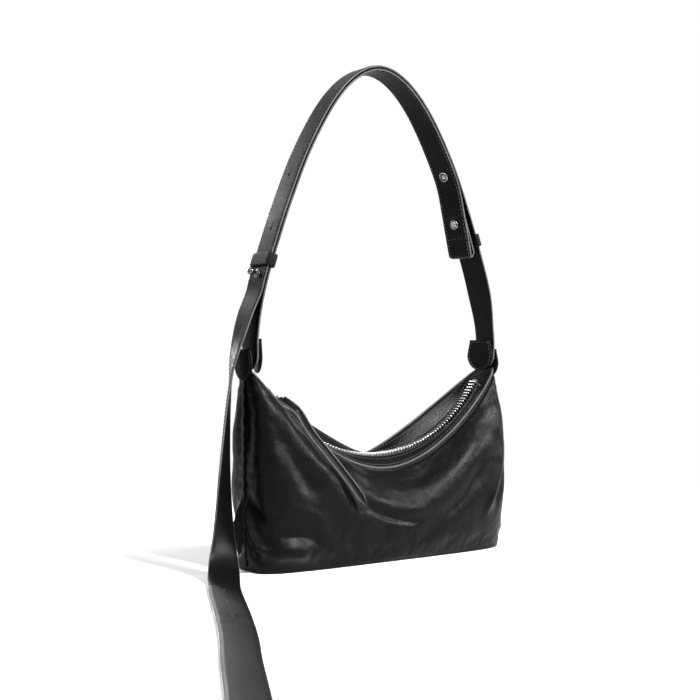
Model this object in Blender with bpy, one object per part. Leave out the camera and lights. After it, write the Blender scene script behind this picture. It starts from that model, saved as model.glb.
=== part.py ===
# Underarm bag in soft leather with a two-ply adjustable strap, modelled in metres.
# +X runs along the bag, -Y is its front, +Z is up, and the origin is the middle of the base.

import math

import bmesh
import bpy
import numpy as np
from mathutils import Matrix, Vector

# Body of the bag
bag_half_length = 0.134
base_draw_in = 0.003
base_half_depth = 0.033
belly_half_depth = 0.042
rim_half_depth = 0.018
horn_height = 0.168
front_saddle_height = 0.080
back_saddle_height = 0.090
panel_thickness = 0.0018
end_squareness = 5.0
front_rim_power = 1.9
back_rim_power = 1.2
panel_columns = 28

# Each row from the bottom seam up to the rim: share of the local rim height, how far the
# depth has opened, and whether it opens from the seam (0), base (1), belly (2) or rim (3)
panel_row_shares = (
    (0.0, 0.0, 0), (0.0, 0.5, 0), (0.0, 0.9, 0), (0.03, 0.0, 1), (0.10, 0.35, 1), (0.22, 0.75, 1),
    (0.40, 0.0, 2), (0.58, 0.06, 2), (0.74, 0.22, 2), (0.87, 0.52, 2), (0.95, 0.80, 2), (1.0, 1.0, 2),
)
panel_length_shares = (0.0, 0.0, 0.0, 0.3, 0.65, 0.85, 1.0, 1.0, 1.0, 1.0, 1.0, 1.0)

# Clearances
seam_gap = 0.0003
bottom_seam_shift = 0.005
layer_gap = 0.0003
ply_gap = 0.0005
half_gap = 0.00015
running_gap = 0.0004

# Lining, pocket and stiffeners
lining_thickness = 0.0006
lining_columns = 20
lining_open_row_count = 2
base_board_end_margin = 0.022
base_board_width = 0.044
base_board_thickness = 0.0016
pocket_width = 0.120
pocket_height = 0.042
pocket_floor_height = 0.020
pocket_thickness = 0.0006
pocket_hem_thickness = 0.0012
pocket_hem_height = 0.006
pocket_lean_angle = 2.0
pocket_depth_share = 0.5

# Zip, a circular arc seen from the front
zip_rise = 0.010
zip_curve_share = 1.192504
zip_end_margin = 0.0166
slider_end_margin = 0.02675
teeth_per_side = 60
tooth_length = 0.0017
tooth_reach = 0.0022
tooth_thickness = 0.0022
teeth_half_slit = 0.0009
tape_inner_half_gap = 0.0038
bead_width = 0.0004
tape_thickness = 0.0006
facing_inner_half_gap = 0.0072
facing_thickness = 0.0013
facing_end_margin = 0.0179
facing_stations = 32
stop_length = 0.0030
stop_clearance = 0.0019

# Zip slider and its long leather pull
slider_length = 0.0110
slider_half_width = 0.0053
slider_plate_thickness = 0.0012
slider_neck_width = 0.0011
bail_width = 0.0013
bail_height = 0.0054
bail_length = 0.0040
post_radius = 0.0011
post_head_radius = 0.0021
post_head_thickness = 0.0008
pull_ring_radius = 0.0023
pull_ring_wire_radius = 0.0007
pull_length = 0.112
pull_width = 0.0075
pull_thickness = 0.0022
pull_tip_length = 0.012
pull_lean_angle = 34.0
pull_stand_off = 0.0063
pull_stations = 22
pull_path_shares = (0.0, 0.06, 0.13, 0.3, 0.45, 0.6, 0.8, 1.0)
pull_bow_share = 0.09
pull_tip_share = 0.12

# Strap: outer face of the outer ply as shares of the half span and of the rise
strap_foot_rise = 0.0133
strap_rise = 0.2567
strap_span_margin = 0.0015
strap_path_shares = (
    (0.0, 1.0), (0.2, 0.965), (0.4, 0.862), (0.6, 0.689), (0.75, 0.510), (0.85, 0.371),
    (0.925, 0.255), (0.975, 0.151), (1.0, 0.053), (1.0, 0.0),
)
strap_width = 0.026
strap_thickness = 0.0024
right_turn_angle = 15.0
turn_start_rise = 0.020
turn_full_rise = 0.062
turn_start_share = 0.8
strap_end_share = 0.965
foot_end_shares = (0.35, 0.65, 0.85, 1.0)
strap_stations = 64

# Places along the strap, as heights above the base
stud_share = 0.2649
left_keeper_share = 0.3111
right_keeper_share = 0.4136
fold_start_share = 0.5961
fold_bottom_share = 0.3709
fold_screw_share = 0.4718
disc_stud_share = 0.6447
fold_inner_radius = 0.0016
fold_return_length = 0.036
fold_outer_clearance = 0.0068
fold_leg_shares = (0.2, 0.4, 0.6, 0.8, 1.0)
fold_return_shares = (0.34, 0.67, 1.0)
tail_joint_share = 0.2408
slot_shares = (0.4252, 0.6078)
slot_length = 0.009
slot_width = 0.0022

# Free tail of the strap, which hangs past the left end and lies on the surface
tail_route = (
    (-0.1345, 0.0000, 0.2120), (-0.1445, 0.0000, 0.1780), (-0.1485, 0.0000, 0.1480),
    (-0.1515, -0.0005, 0.1150), (-0.1540, -0.0015, 0.0800), (-0.1570, -0.0060, 0.0430),
    (-0.1630, -0.0170, 0.0155), (-0.1760, -0.0400, 0.0027), (-0.1910, -0.0680, 0.0012),
    (-0.2120, -0.1120, 0.0012), (-0.2350, -0.1600, 0.0012), (-0.2600, -0.2100, 0.0012),
    (-0.2870, -0.2600, 0.0012), (-0.3140, -0.3120, 0.0012), (-0.3400, -0.3620, 0.0012),
)
tail_twist_shares = (0.0, 0.05, 0.09, 0.14, 0.26, 0.34, 0.44, 1.0)
tail_twist_angles = (0.0, 0.0, -9.0, -30.0, -48.0, -66.0, -116.0, -118.0)
tail_lead_length = 0.012
tail_tip_share = 0.12
tail_stations = 60
tail_tip_length = 0.014
tail_slot_distances = (0.0435, 0.300, 0.346, 0.392, 0.438)

# Keepers, studs and tabs
keeper_height = 0.012
keeper_thickness = 0.0016
keeper_corner_radius = 0.0012
stud_ball_radius = 0.0033
stud_neck_radius = 0.0016
stud_neck_length = 0.0026
stud_flange_radius = 0.0042
stud_flange_thickness = 0.0009
screw_head_radius = 0.0043
screw_head_thickness = 0.0010
screw_slot_width = 0.0009
screw_slot_depth = 0.0005
disc_radius = 0.0046
disc_rim_share = 0.8
ball_seat_share = 0.85
tab_width = 0.0285
tab_thickness = 0.0016
tab_swing_clearance = 0.0008
inner_tab_bottom_rise = -0.0025
inner_tab_top_rise = 0.0265
outer_tab_bottom_rise = -0.0160
outer_tab_top_rise = 0.0180
anchor_clearance = 0.0009
anchor_plate_width = 0.016
anchor_plate_height = 0.022
anchor_plate_thickness = 0.0012
round_segments = 20
wire_segments = 8
cutter_overrun = 0.002

leather_colour = (0.010, 0.010, 0.011)
lining_colour = (0.020, 0.020, 0.022)
tape_colour = (0.012, 0.012, 0.013)
metal_colour = (0.72, 0.72, 0.71)
board_colour = (0.12, 0.10, 0.08)

# Derived values
base_half_length = bag_half_length - base_draw_in
strap_half_span = bag_half_length - strap_span_margin
zip_half_length = bag_half_length - zip_end_margin
facing_half_length = bag_half_length - facing_end_margin
slider_rest_distance = bag_half_length - slider_end_margin
zip_radius = zip_half_length * zip_curve_share
strap_foot_height = horn_height + strap_foot_rise
zip_centre_height = front_saddle_height + zip_rise + zip_radius
strap_half_width = strap_width / 2
ply_step = strap_thickness + ply_gap
zip_half_angle = math.degrees(math.asin(zip_half_length / zip_radius))
facing_half_angle = math.degrees(math.asin(facing_half_length / zip_radius))
base_board_length = 2 * (base_half_length - base_board_end_margin)
ring_reach = slider_half_width + layer_gap + pull_ring_wire_radius
post_reach = ring_reach + pull_ring_wire_radius + layer_gap + post_head_thickness
lining_offset = panel_thickness + base_board_thickness + 2 * layer_gap


def clear_scene():
    """Empty the scene so that the model starts from nothing."""
    for item in list(bpy.data.objects):
        bpy.data.objects.remove(item, do_unlink=True)


def make_material(name, colour, roughness, metallic=0.0):
    """One Principled material with the piece's colour, roughness and metallic value."""
    material = bpy.data.materials.new(name)
    material.use_nodes = True
    shader = material.node_tree.nodes["Principled BSDF"]
    shader.inputs["Base Color"].default_value = (*colour, 1.0)
    shader.inputs["Roughness"].default_value = roughness
    shader.inputs["Metallic"].default_value = metallic
    return material


def leather(name):
    return make_material(name + "_leather", leather_colour, 0.42)


def metal(name):
    return make_material(name + "_metal", metal_colour, 0.22, 1.0)


def fabric(name):
    return make_material(name + "_fabric", lining_colour, 0.80)


def add_object(name, bm, material, pivot=None, smooth=False):
    """Turn a bmesh in world places into a named object whose origin is its pivot."""
    bmesh.ops.recalc_face_normals(bm, faces=bm.faces)
    origin = Vector(pivot) if pivot is not None else Vector((0, 0, 0))
    bmesh.ops.translate(bm, verts=bm.verts, vec=-origin)
    mesh = bpy.data.meshes.new(name)
    bm.to_mesh(mesh)
    bm.free()
    mesh.materials.append(material)
    if smooth:
        mesh.shade_smooth()
        mesh.set_sharp_from_angle(angle=math.radians(40))
    item = bpy.data.objects.new(name, mesh)
    item.location = origin
    bpy.context.scene.collection.objects.link(item)
    return item


def grid_faces(bm, rows, flip=False):
    """Quads between neighbouring rows of vertices."""
    for low, high in zip(rows, rows[1:]):
        for i in range(len(low) - 1):
            corners = [low[i], low[i + 1], high[i + 1], high[i]]
            bm.faces.new(corners[::-1] if flip else corners)


def add_sheet(bm, top, bottom):
    """Closed sheet between two matching grids of points."""
    upper = [[bm.verts.new(p) for p in row] for row in top]
    lower = [[bm.verts.new(p) for p in row] for row in bottom]
    grid_faces(bm, upper)
    grid_faces(bm, lower, flip=True)
    grid_faces(bm, [upper[0], lower[0]], flip=True)
    grid_faces(bm, [upper[-1], lower[-1]])
    left = [[row[0] for row in upper], [row[0] for row in lower]]
    right = [[row[-1] for row in upper], [row[-1] for row in lower]]
    grid_faces(bm, left)
    grid_faces(bm, right, flip=True)


def sheet_object(name, top, bottom, material, smooth=True):
    bm = bmesh.new()
    add_sheet(bm, top, bottom)
    return add_object(name, bm, material, smooth=smooth)


def add_box(bm, centre, size, turn=None):
    """Box of a size about a centre, turned by a matrix."""
    made = bmesh.ops.create_cube(bm, size=1.0)["verts"]
    bmesh.ops.scale(bm, vec=Vector(size), verts=made)
    if turn is not None:
        bmesh.ops.rotate(bm, cent=(0, 0, 0), matrix=turn, verts=made)
    bmesh.ops.translate(bm, vec=Vector(centre), verts=made)
    return made


def add_cylinder(bm, centre, axis, radius, length, end_radius=None):
    """Round bar, or a cone, about a centre along an axis."""
    made = bmesh.ops.create_cone(
        bm, cap_ends=True, segments=round_segments, radius1=radius,
        radius2=radius if end_radius is None else end_radius, depth=length)["verts"]
    turn = Vector((0, 0, 1)).rotation_difference(Vector(axis)).to_matrix()
    bmesh.ops.rotate(bm, cent=(0, 0, 0), matrix=turn, verts=made)
    bmesh.ops.translate(bm, vec=Vector(centre), verts=made)
    return made


def smooth_curve(points, count):
    """Even samples of a smooth curve through the points, with their distances."""
    pts = np.array(points, dtype=float)
    ends = [2 * pts[0] - pts[1], *pts, 2 * pts[-1] - pts[-2]]
    fine = []
    steps = np.linspace(0, 1, 16, endpoint=False)
    for a, b, c, d in zip(ends, ends[1:], ends[2:], ends[3:]):
        for t in steps:
            fine.append(0.5 * (2 * b + (c - a) * t + (2 * a - 5 * b + 4 * c - d) * t ** 2
                               + (3 * b - a - 3 * c + d) * t ** 3))
    fine.append(pts[-1])
    fine = np.array(fine)
    run = np.concatenate([[0], np.cumsum(np.linalg.norm(np.diff(fine, axis=0), axis=1))])
    at = np.linspace(0, run[-1], count)
    return np.stack([np.interp(at, run, fine[:, k]) for k in range(3)], axis=1), at


def unit(rows):
    return rows / np.linalg.norm(rows, axis=-1, keepdims=True)


# The body: a loft from the bottom seam up to a saddle-shaped rim

def rim_height(x, saddle, power):
    share = np.clip(abs(x) / bag_half_length, 0, 1)
    return saddle + (horn_height - saddle) * share ** power


def rim_depth(x):
    share = min(abs(x) / bag_half_length, 1.0)
    return rim_half_depth * (1 - share ** end_squareness) ** (1 / end_squareness)


def row_depth(opened, stage):
    """Half depth of a row from the stage of the profile that it belongs to."""
    stages = (0.0, base_half_depth, belly_half_depth, rim_half_depth)
    return stages[stage] + (stages[stage + 1] - stages[stage]) * opened


def body_grid(side, saddle, power, columns, inset=0.0):
    """One half of the body, drawn in by an inset; side is -1 at the front and 1 at the back."""
    along = np.sin(np.linspace(-math.pi / 2, math.pi / 2, columns + 1))
    across = np.clip(1 - np.abs(along) ** end_squareness, 0, 1) ** (1 / end_squareness)
    heights = rim_height(along * bag_half_length, saddle, power)
    rows = []
    for (rise, opened, stage), grown in zip(panel_row_shares, panel_length_shares):
        half = base_half_length + (bag_half_length - base_half_length) * grown - inset
        depth = max(row_depth(opened, stage) - inset, 0)
        row = [(half * a, side * (depth * c + seam_gap / 2), inset + rise * (h - inset))
               for a, c, h in zip(along, across, heights)]
        rows.append(row)
    grid = np.array(rows)
    grid[0, :, 1] += bottom_seam_shift * across
    return grid


def make_panels():
    for name, side, saddle, power in (("front_panel", -1, front_saddle_height, front_rim_power),
                                      ("back_panel", 1, back_saddle_height, back_rim_power)):
        outer = body_grid(side, saddle, power, panel_columns)
        inner = body_grid(side, saddle, power, panel_columns, panel_thickness)
        sheet_object(name, outer, inner, leather(name))


def make_linings():
    """The lining is the body drawn in past the stiffeners, and it stops below the tapes."""
    for name, side, saddle, power in (("front_lining", -1, front_saddle_height, front_rim_power),
                                      ("back_lining", 1, back_saddle_height, back_rim_power)):
        outer = body_grid(side, saddle, power, lining_columns, lining_offset)[:-lining_open_row_count]
        inner = body_grid(side, saddle, power, lining_columns,
                          lining_offset + lining_thickness)[:-lining_open_row_count]
        sheet_object(name, outer, inner, fabric(name))


def make_base_board():
    bm = bmesh.new()
    centre = (0, 0, panel_thickness + layer_gap + base_board_thickness / 2)
    add_box(bm, centre, (base_board_length, base_board_width, base_board_thickness))
    add_object("base_board", bm, make_material("base_board_fibre", board_colour, 0.9))


def make_inner_pocket():
    """Slip pocket that lies against the back lining, with a thicker hem at its mouth."""
    turn = Matrix.Rotation(math.radians(pocket_lean_angle), 3, "X")
    depth = row_depth(pocket_depth_share, 1) - lining_offset - lining_thickness - layer_gap
    foot = Vector((0, depth - pocket_thickness, pocket_floor_height))
    up = turn @ Vector((0, 0, 1))
    bm = bmesh.new()
    add_box(bm, foot + up * (pocket_height / 2), (pocket_width, pocket_thickness, pocket_height), turn)
    add_object("inner_pocket", bm, fabric("inner_pocket"))
    bm = bmesh.new()
    place = foot + up * (pocket_height + layer_gap + pocket_hem_height / 2)
    add_box(bm, place, (pocket_width, pocket_hem_thickness, pocket_hem_height), turn)
    add_object("pocket_hem", bm, leather("pocket_hem"))


# The zip: facings and tapes follow one line from the teeth out to the rim

def arc_point(angle, radius, y):
    return np.array([radius * math.sin(angle), y, zip_centre_height - radius * math.cos(angle)])


def facing_section(angle, side, saddle, power, start, share):
    """A point on the line from the zip to the rim, with the line's direction up from it."""
    x = zip_radius * math.sin(angle)
    flat = arc_point(angle, zip_radius, side * start)
    inner = arc_point(angle, zip_radius, side * facing_inner_half_gap)
    depth = rim_depth(x) - panel_thickness - running_gap
    rim = np.array([x, side * depth, rim_height(x, saddle, power)])
    slope = rim - inner
    if share < 0:
        point = inner + (flat - inner) * -share
        return point, np.array([-math.sin(angle), 0, math.cos(angle)])
    normal = np.cross(slope, np.array([math.cos(angle), 0, math.sin(angle)])) * -side
    return inner + slope * share, normal / np.linalg.norm(normal)


def facing_grids(side, saddle, power, half_angle, start, shares, low, high):
    """Matching grids low and high above the line, one row for each place along the zip."""
    bottom, top = [], []
    for angle in np.radians(np.linspace(-half_angle, half_angle, facing_stations + 1)):
        low_row, high_row = [], []
        for share in shares:
            point, up = facing_section(angle, side, saddle, power, start, share)
            low_row.append(point + up * low)
            high_row.append(point + up * high)
        bottom.append(low_row)
        top.append(high_row)
    return top, bottom


facing_places_shares = (0.0, 0.35, 0.7, 1.0)
tape_places_shares = (-1.0, -0.3, 0.0, 0.35)


def make_facings_and_tapes():
    for name, side, saddle, power in (("front", -1, front_saddle_height, front_rim_power),
                                      ("back", 1, back_saddle_height, back_rim_power)):
        top, bottom = facing_grids(side, saddle, power, facing_half_angle, tape_inner_half_gap,
                                   facing_places_shares, half_gap, half_gap + facing_thickness)
        sheet_object(name + "_facing", top, bottom, leather(name + "_facing"))
        top, bottom = facing_grids(side, saddle, power, zip_half_angle, tape_inner_half_gap,
                                   tape_places_shares, -layer_gap - tape_thickness, -layer_gap)
        tape = make_material(name + "_tape_fabric", tape_colour, 0.85)
        sheet_object(name + "_zip_tape", top, bottom, tape)


def add_arc_box(bm, angle, radius_low, radius_high, y_low, y_high, length):
    """Small block that stands on the zip's arc between two radii."""
    radius = (radius_low + radius_high) / 2
    centre = arc_point(angle, radius, (y_low + y_high) / 2)
    turn = Matrix.Rotation(-angle, 3, "Y")
    add_box(bm, centre, (length, abs(y_high - y_low), abs(radius_high - radius_low)), turn)


def comb_solid(name, side, shift):
    """One row of teeth on its bead, bent along the zip's arc."""
    pitch = 2 * math.radians(zip_half_angle) / teeth_per_side
    half_tooth = tooth_length / zip_radius / 2
    bead = side * (teeth_half_slit + tooth_reach)
    tip = side * teeth_half_slit
    back = bead + side * bead_width
    low = zip_radius + tooth_thickness / 2
    start = -math.radians(zip_half_angle)
    angles = [start]
    for i in range(teeth_per_side):
        middle = start + pitch * (i + shift)
        angles += [middle - half_tooth, middle + half_tooth]
    angles.append(-start)
    bm = bmesh.new()
    line = [[bm.verts.new(arc_point(a, low, y)) for y in (bead, back)] for a in angles]
    grid_faces(bm, line)
    for i in range(1, len(angles) - 1, 2):
        tips = [bm.verts.new(arc_point(a, low, tip)) for a in angles[i:i + 2]]
        bm.faces.new([line[i][0], line[i + 1][0], tips[1], tips[0]])
    bmesh.ops.recalc_face_normals(bm, faces=bm.faces)
    grown = bmesh.ops.extrude_face_region(bm, geom=list(bm.faces))["geom"]
    for vert in (item for item in grown if isinstance(item, bmesh.types.BMVert)):
        inward_way = Vector((-vert.co.x, 0, zip_centre_height - vert.co.z)).normalized()
        vert.co += inward_way * tooth_thickness
    add_object(name, bm, metal(name))


def make_teeth():
    comb_solid("front_zip_teeth", -1, 0.25)
    comb_solid("back_zip_teeth", 1, 0.75)


def make_end_stops():
    """A metal stop past each end of the rows of teeth."""
    stop_angle = math.radians(zip_half_angle) + stop_clearance / zip_radius
    low = zip_radius - tooth_thickness / 2
    high = zip_radius + tooth_thickness / 2
    width = teeth_half_slit + tooth_reach
    for name, angle in (("zip_left_stop", -stop_angle), ("zip_right_stop", stop_angle)):
        bm = bmesh.new()
        add_arc_box(bm, angle, low, high, -width, width, stop_length)
        add_object(name, bm, metal(name))


def slider_angle():
    return -math.asin(slider_rest_distance / zip_radius)


def bail_point():
    """Middle of the bail on top of the slider, where the pull ring hangs."""
    top = zip_radius - tooth_thickness / 2 - running_gap - slider_plate_thickness
    return arc_point(slider_angle(), top - bail_height / 2, 0.0)


def make_slider():
    """Two plates round the teeth, joined by a neck, with a headed post on a bail on top."""
    angle = slider_angle()
    top_low = zip_radius - tooth_thickness / 2 - running_gap
    top_high = top_low - slider_plate_thickness
    under_low = zip_radius + tooth_thickness / 2 + running_gap
    under_high = under_low + slider_plate_thickness
    half = slider_half_width
    neck = slider_neck_width / 2
    bail = bail_width / 2
    blocks = [
        (angle, top_high, top_low, half, slider_length),
        (angle, under_low, under_high, half, slider_length),
        (angle, top_low - half_gap, under_low + half_gap, neck, bail_length),
        (angle, top_high - bail_height, top_high + half_gap, bail, bail_length),
    ]
    makers = [lambda bm, b=b: add_arc_box(bm, b[0], b[1], b[2], -b[3], b[3], b[4]) for b in blocks]
    front = np.array([0, -1, 0])
    middle = bail_point() + front * post_reach / 2
    head = bail_point() + front * (post_reach - post_head_thickness / 2)
    makers.append(lambda bm: add_cylinder(bm, middle, front, post_radius, post_reach))
    makers.append(lambda bm: add_cylinder(bm, head, front, post_head_radius, post_head_thickness))
    join_solids("zip_slider", makers, metal("zip_slider"), pivot=(0, 0, zip_centre_height))


def pull_plane_direction():
    """Direction of the hanging pull as the front view shows it."""
    lean = math.radians(pull_lean_angle)
    return np.array([math.sin(lean), 0, -math.cos(lean)])


def make_pull_ring():
    """Ring that swivels round the post in front of the slider's plates."""
    bm = bmesh.new()
    front = np.array([0, -1, 0])
    centre = bail_point() + front * ring_reach
    along = pull_plane_direction()
    across = np.cross(along, front)
    rings = []
    for turn in np.linspace(0, 2 * math.pi, round_segments, endpoint=False):
        out = math.cos(turn) * across + math.sin(turn) * along
        ring = []
        for bend in np.linspace(0, 2 * math.pi, wire_segments, endpoint=False):
            reach = pull_ring_radius + pull_ring_wire_radius * math.cos(bend)
            rise = pull_ring_wire_radius * math.sin(bend)
            ring.append(bm.verts.new(centre + out * reach + front * rise))
        rings.append(ring + [ring[0]])
    grid_faces(bm, rings + [rings[0]])
    add_object("zip_pull_ring", bm, metal("zip_pull_ring"), pivot=bail_point(), smooth=True)


def front_depth(x, z):
    """Half depth of the front panel at a place seen from the front."""
    rim = rim_height(x, front_saddle_height, front_rim_power)
    rises = [row[0] for row in panel_row_shares[3:]]
    depths = [row_depth(row[1], row[2]) for row in panel_row_shares[3:]]
    return float(np.interp(z / rim, rises, depths))


def pull_path():
    """Middle line of the pull: it bows over the rim and follows the front panel down."""
    along = pull_plane_direction()
    start = bail_point() + np.array([0, -post_reach - running_gap - pull_thickness / 2, 0])
    points = []
    for share in pull_path_shares:
        place = start + along * pull_length * share
        depth = front_depth(place[0], place[2]) + pull_stand_off
        near = min(share / pull_bow_share, 1.0)
        place[1] = (1 - near) * start[1] - near * max(depth, -start[1])
        points.append(place)
    return smooth_curve(points, pull_stations)[0]


def make_zip_pull():
    """Long leather strip with a pointed tip."""
    path = pull_path()
    tangents = unit(np.gradient(path, axis=0))
    run = np.concatenate([[0], np.cumsum(np.linalg.norm(np.diff(path, axis=0), axis=1))])
    left = run[-1] - run
    tip = np.clip(left / pull_tip_length, pull_tip_share, 1.0)
    side = np.cross(pull_plane_direction(), np.array([0, 1, 0]))
    bm = bmesh.new()
    rings = []
    for place, ahead, share in zip(path, tangents, tip):
        out = np.cross(ahead, side)
        half = pull_width / 2 * share
        thick = pull_thickness / 2
        corners = ((-1, -1), (1, -1), (1, 1), (-1, 1))
        rings.append([bm.verts.new(place + side * half * a + out * thick * b) for a, b in corners])
    closed = [ring + [ring[0]] for ring in rings]
    grid_faces(bm, closed)
    bm.faces.new(rings[0])
    bm.faces.new(rings[-1][::-1])
    add_object("zip_pull", bm, leather("zip_pull"), pivot=pull_path()[0], smooth=True)


def join_solids(name, makers, material, pivot=None):
    """One object from several overlapping solids, joined by Boolean unions."""
    base = None
    for index, maker in enumerate(makers):
        bm = bmesh.new()
        maker(bm)
        piece = add_object(name if index == 0 else name + "_add", bm, material, pivot=pivot)
        if base is None:
            base = piece
            continue
        joined = base.modifiers.new("join", "BOOLEAN")
        joined.operation = "UNION"
        joined.solver = "EXACT"
        joined.object = piece
        apply_modifiers(base)
        bpy.data.objects.remove(piece, do_unlink=True)
    return base


def apply_modifiers(item):
    """Replace the object's mesh by its evaluated one."""
    graph = bpy.context.evaluated_depsgraph_get()
    mesh = bpy.data.meshes.new_from_object(item.evaluated_get(graph))
    item.modifiers.clear()
    item.data = mesh


def cut(item, makers):
    """Cut holes from an object with solids made in world places."""
    for maker in makers:
        bm = bmesh.new()
        maker(bm)
        cutter = add_object("cutter", bm, item.data.materials[0])
        cutter.hide_render = True
        cutter.display_type = "WIRE"
        hole = item.modifiers.new("hole", "BOOLEAN")
        hole.operation = "DIFFERENCE"
        hole.solver = "EXACT"
        hole.object = cutter
        bpy.context.view_layer.update()
        apply_modifiers(item)
        bpy.data.objects.remove(cutter, do_unlink=True)


# The strap: two plies that follow one path, drawn in shares of the span and the rise

def strap_path(side_count=200):
    """Outer face of the strap from the left foot to the right one, as dense points."""
    right = [(x * strap_half_span, 0, strap_foot_height + z * strap_rise) for x, z in strap_path_shares]
    left = [(-x, y, z) for x, y, z in right[:0:-1]]
    points, run = smooth_curve(left + right, 2 * side_count + 1)
    return points, run


def up_strap(share):
    """Height of a place given as a share of the strap's rise."""
    return strap_foot_height + strap_rise * share


def ease(values):
    shares = np.clip(values, 0, 1)
    return shares * shares * (3 - 2 * shares)


def strap_frames(points):
    """Directions along, across and out of the strap, whose right leg turns to the front."""
    points = np.asarray(points)
    tangents = unit(np.gradient(points, axis=0))
    up_leg = ease((points[:, 2] - strap_foot_height - turn_start_rise) / (turn_full_rise - turn_start_rise))
    turn = np.radians(right_turn_angle) * up_leg * ease(points[:, 0] / strap_half_span / turn_start_share)
    across = np.stack([-np.sin(turn), np.cos(turn), np.zeros(len(points))], axis=1)
    across = unit(across - tangents * np.sum(across * tangents, axis=1, keepdims=True))
    return tangents, across, np.cross(tangents, across)


def strap_place(height, side, depth):
    """Point at a height on one leg of the strap, depth below its outer face, and the tangent."""
    points, _ = strap_path()
    tangents, _, normals = strap_frames(points)
    half = len(points) // 2
    legs = range(half, len(points)) if side > 0 else range(half, -1, -1)
    order = sorted(legs, key=lambda i: points[i, 2])
    rises = points[order, 2]
    columns = [np.interp(height, rises, row) for row in (*points[order].T, *normals[order].T, *tangents[order].T)]
    place, out, ahead = np.array(columns).reshape(3, 3)
    return place - out * depth, ahead * -side, out


def ribbon(bm, centres, widths, normals, half_widths, thickness):
    """Closed strip with a rectangular section that follows a line."""
    rings = []
    for place, across, out, half in zip(centres, widths, normals, half_widths):
        low = place - out * thickness / 2
        high = place + out * thickness / 2
        rings.append([bm.verts.new(p) for p in (low - across * half, low + across * half,
                                                high + across * half, high - across * half)])
    grid_faces(bm, [ring + [ring[0]] for ring in rings])
    bm.faces.new(rings[0])
    bm.faces.new(rings[-1][::-1])


def foot_half_width(height):
    """Half width of a strap near its foot, whose end is round about the foot's pivot."""
    below = max(strap_foot_height - height, 0)
    return math.sqrt(max(strap_half_width ** 2 - below ** 2, 0))


def leg_below_foot(place, side):
    """Extra stations that carry a strap straight down past its pivot to a round end."""
    drop = strap_half_width * strap_end_share
    return [place - np.array([0, 0, drop * share]) for share in foot_end_shares]


def outer_ply():
    """Middle line of the outer strap, from the tail joint on the left to the right foot."""
    points, _ = strap_path()
    centre = points - strap_frames(points)[2] * strap_thickness / 2
    half = len(points) // 2
    keep = [p for i, p in enumerate(centre) if i > half or p[2] > up_strap(tail_joint_share)]
    foot = leg_below_foot(keep[-1], 1)
    line = smooth_curve(keep[::6] + [keep[-1]], strap_stations)[0]
    return np.array(list(line) + foot)


def make_outer_strap():
    line = outer_ply()
    _, widths, normals = strap_frames(line)
    halves = [foot_half_width(p[2]) if p[0] > 0 else strap_half_width for p in line]
    bm = bmesh.new()
    ribbon(bm, line, widths, normals, halves, strap_thickness)
    strap = add_object("outer_strap", bm, leather("outer_strap"), pivot=(0, 0, strap_foot_height))
    places = [strap_place(up_strap(share), -1, strap_thickness / 2) for share in slot_shares]
    cut(strap, [slot_maker(*place) for place in places])


def slot_maker(centre, up, out):
    """A slot through a strap, its length along the strap."""
    turn = Matrix((tuple(np.cross(out, up)), tuple(out), tuple(up))).transposed()
    size = (slot_width, strap_thickness + 2 * cutter_overrun, slot_length)
    return lambda bm: add_box(bm, centre, size, turn)


def inner_ply():
    """Middle line of the inner strap, from the left foot to its fold on the right."""
    points, _ = strap_path()
    depth = strap_thickness / 2 + ply_step
    centre = points - strap_frames(points)[2] * depth
    half = len(points) // 2
    keep = [p for i, p in enumerate(centre) if i < half or p[2] > up_strap(fold_start_share)]
    foot = leg_below_foot(keep[0], -1)[::-1]
    line = smooth_curve(keep[::6] + [keep[-1]], strap_stations)[0]
    return np.array(foot + list(line)), fold_line(keep[-1])


def fold_line(start):
    """The ply swings in from the outer strap, turns up in a U and lies against itself."""
    turn_radius = fold_inner_radius + strap_thickness / 2
    bottom, up, out = strap_place(up_strap(fold_bottom_share), 1, 0)
    return_depth = strap_thickness + layer_gap + fold_outer_clearance + strap_thickness / 2
    centre = bottom - out * (return_depth + turn_radius) + up * turn_radius
    points = []
    for share in fold_leg_shares:
        low = centre - out * turn_radius
        points.append(start + (low - start) * share)
    for turn in np.linspace(0, math.pi, 9)[1:]:
        points.append(centre - out * math.cos(turn) * turn_radius - up * math.sin(turn) * turn_radius)
    last = points[-1]
    for share in fold_return_shares:
        points.append(last + up * fold_return_length * share)
    return points


def make_inner_strap():
    main, fold = inner_ply()
    line = np.array(list(main) + fold)
    _, widths, normals = strap_frames(line)
    halves = [foot_half_width(p[2]) if p[0] < 0 else strap_half_width for p in line]
    bm = bmesh.new()
    ribbon(bm, line, widths, normals, halves, strap_thickness)
    add_object("inner_strap", bm, leather("inner_strap"), pivot=(0, 0, strap_foot_height))


def tail_line():
    """Middle line of the free tail, from just under the stud to its tip."""
    start, up, out = strap_place(up_strap(tail_joint_share) - layer_gap, -1, strap_thickness / 2)
    points = [start, start - up * tail_lead_length] + [np.array(p) for p in tail_route]
    return smooth_curve(points, tail_stations)


def tail_frames():
    line, run = tail_line()
    tangents = unit(np.gradient(line, axis=0))
    twist = np.radians(np.interp(run / run[-1], tail_twist_shares, tail_twist_angles))
    across = np.stack([-np.sin(twist), np.cos(twist), np.zeros(len(twist))], axis=1)
    across = unit(across - tangents * np.sum(across * tangents, axis=1, keepdims=True))
    return line, run, tangents, across, np.cross(across, tangents)


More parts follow.
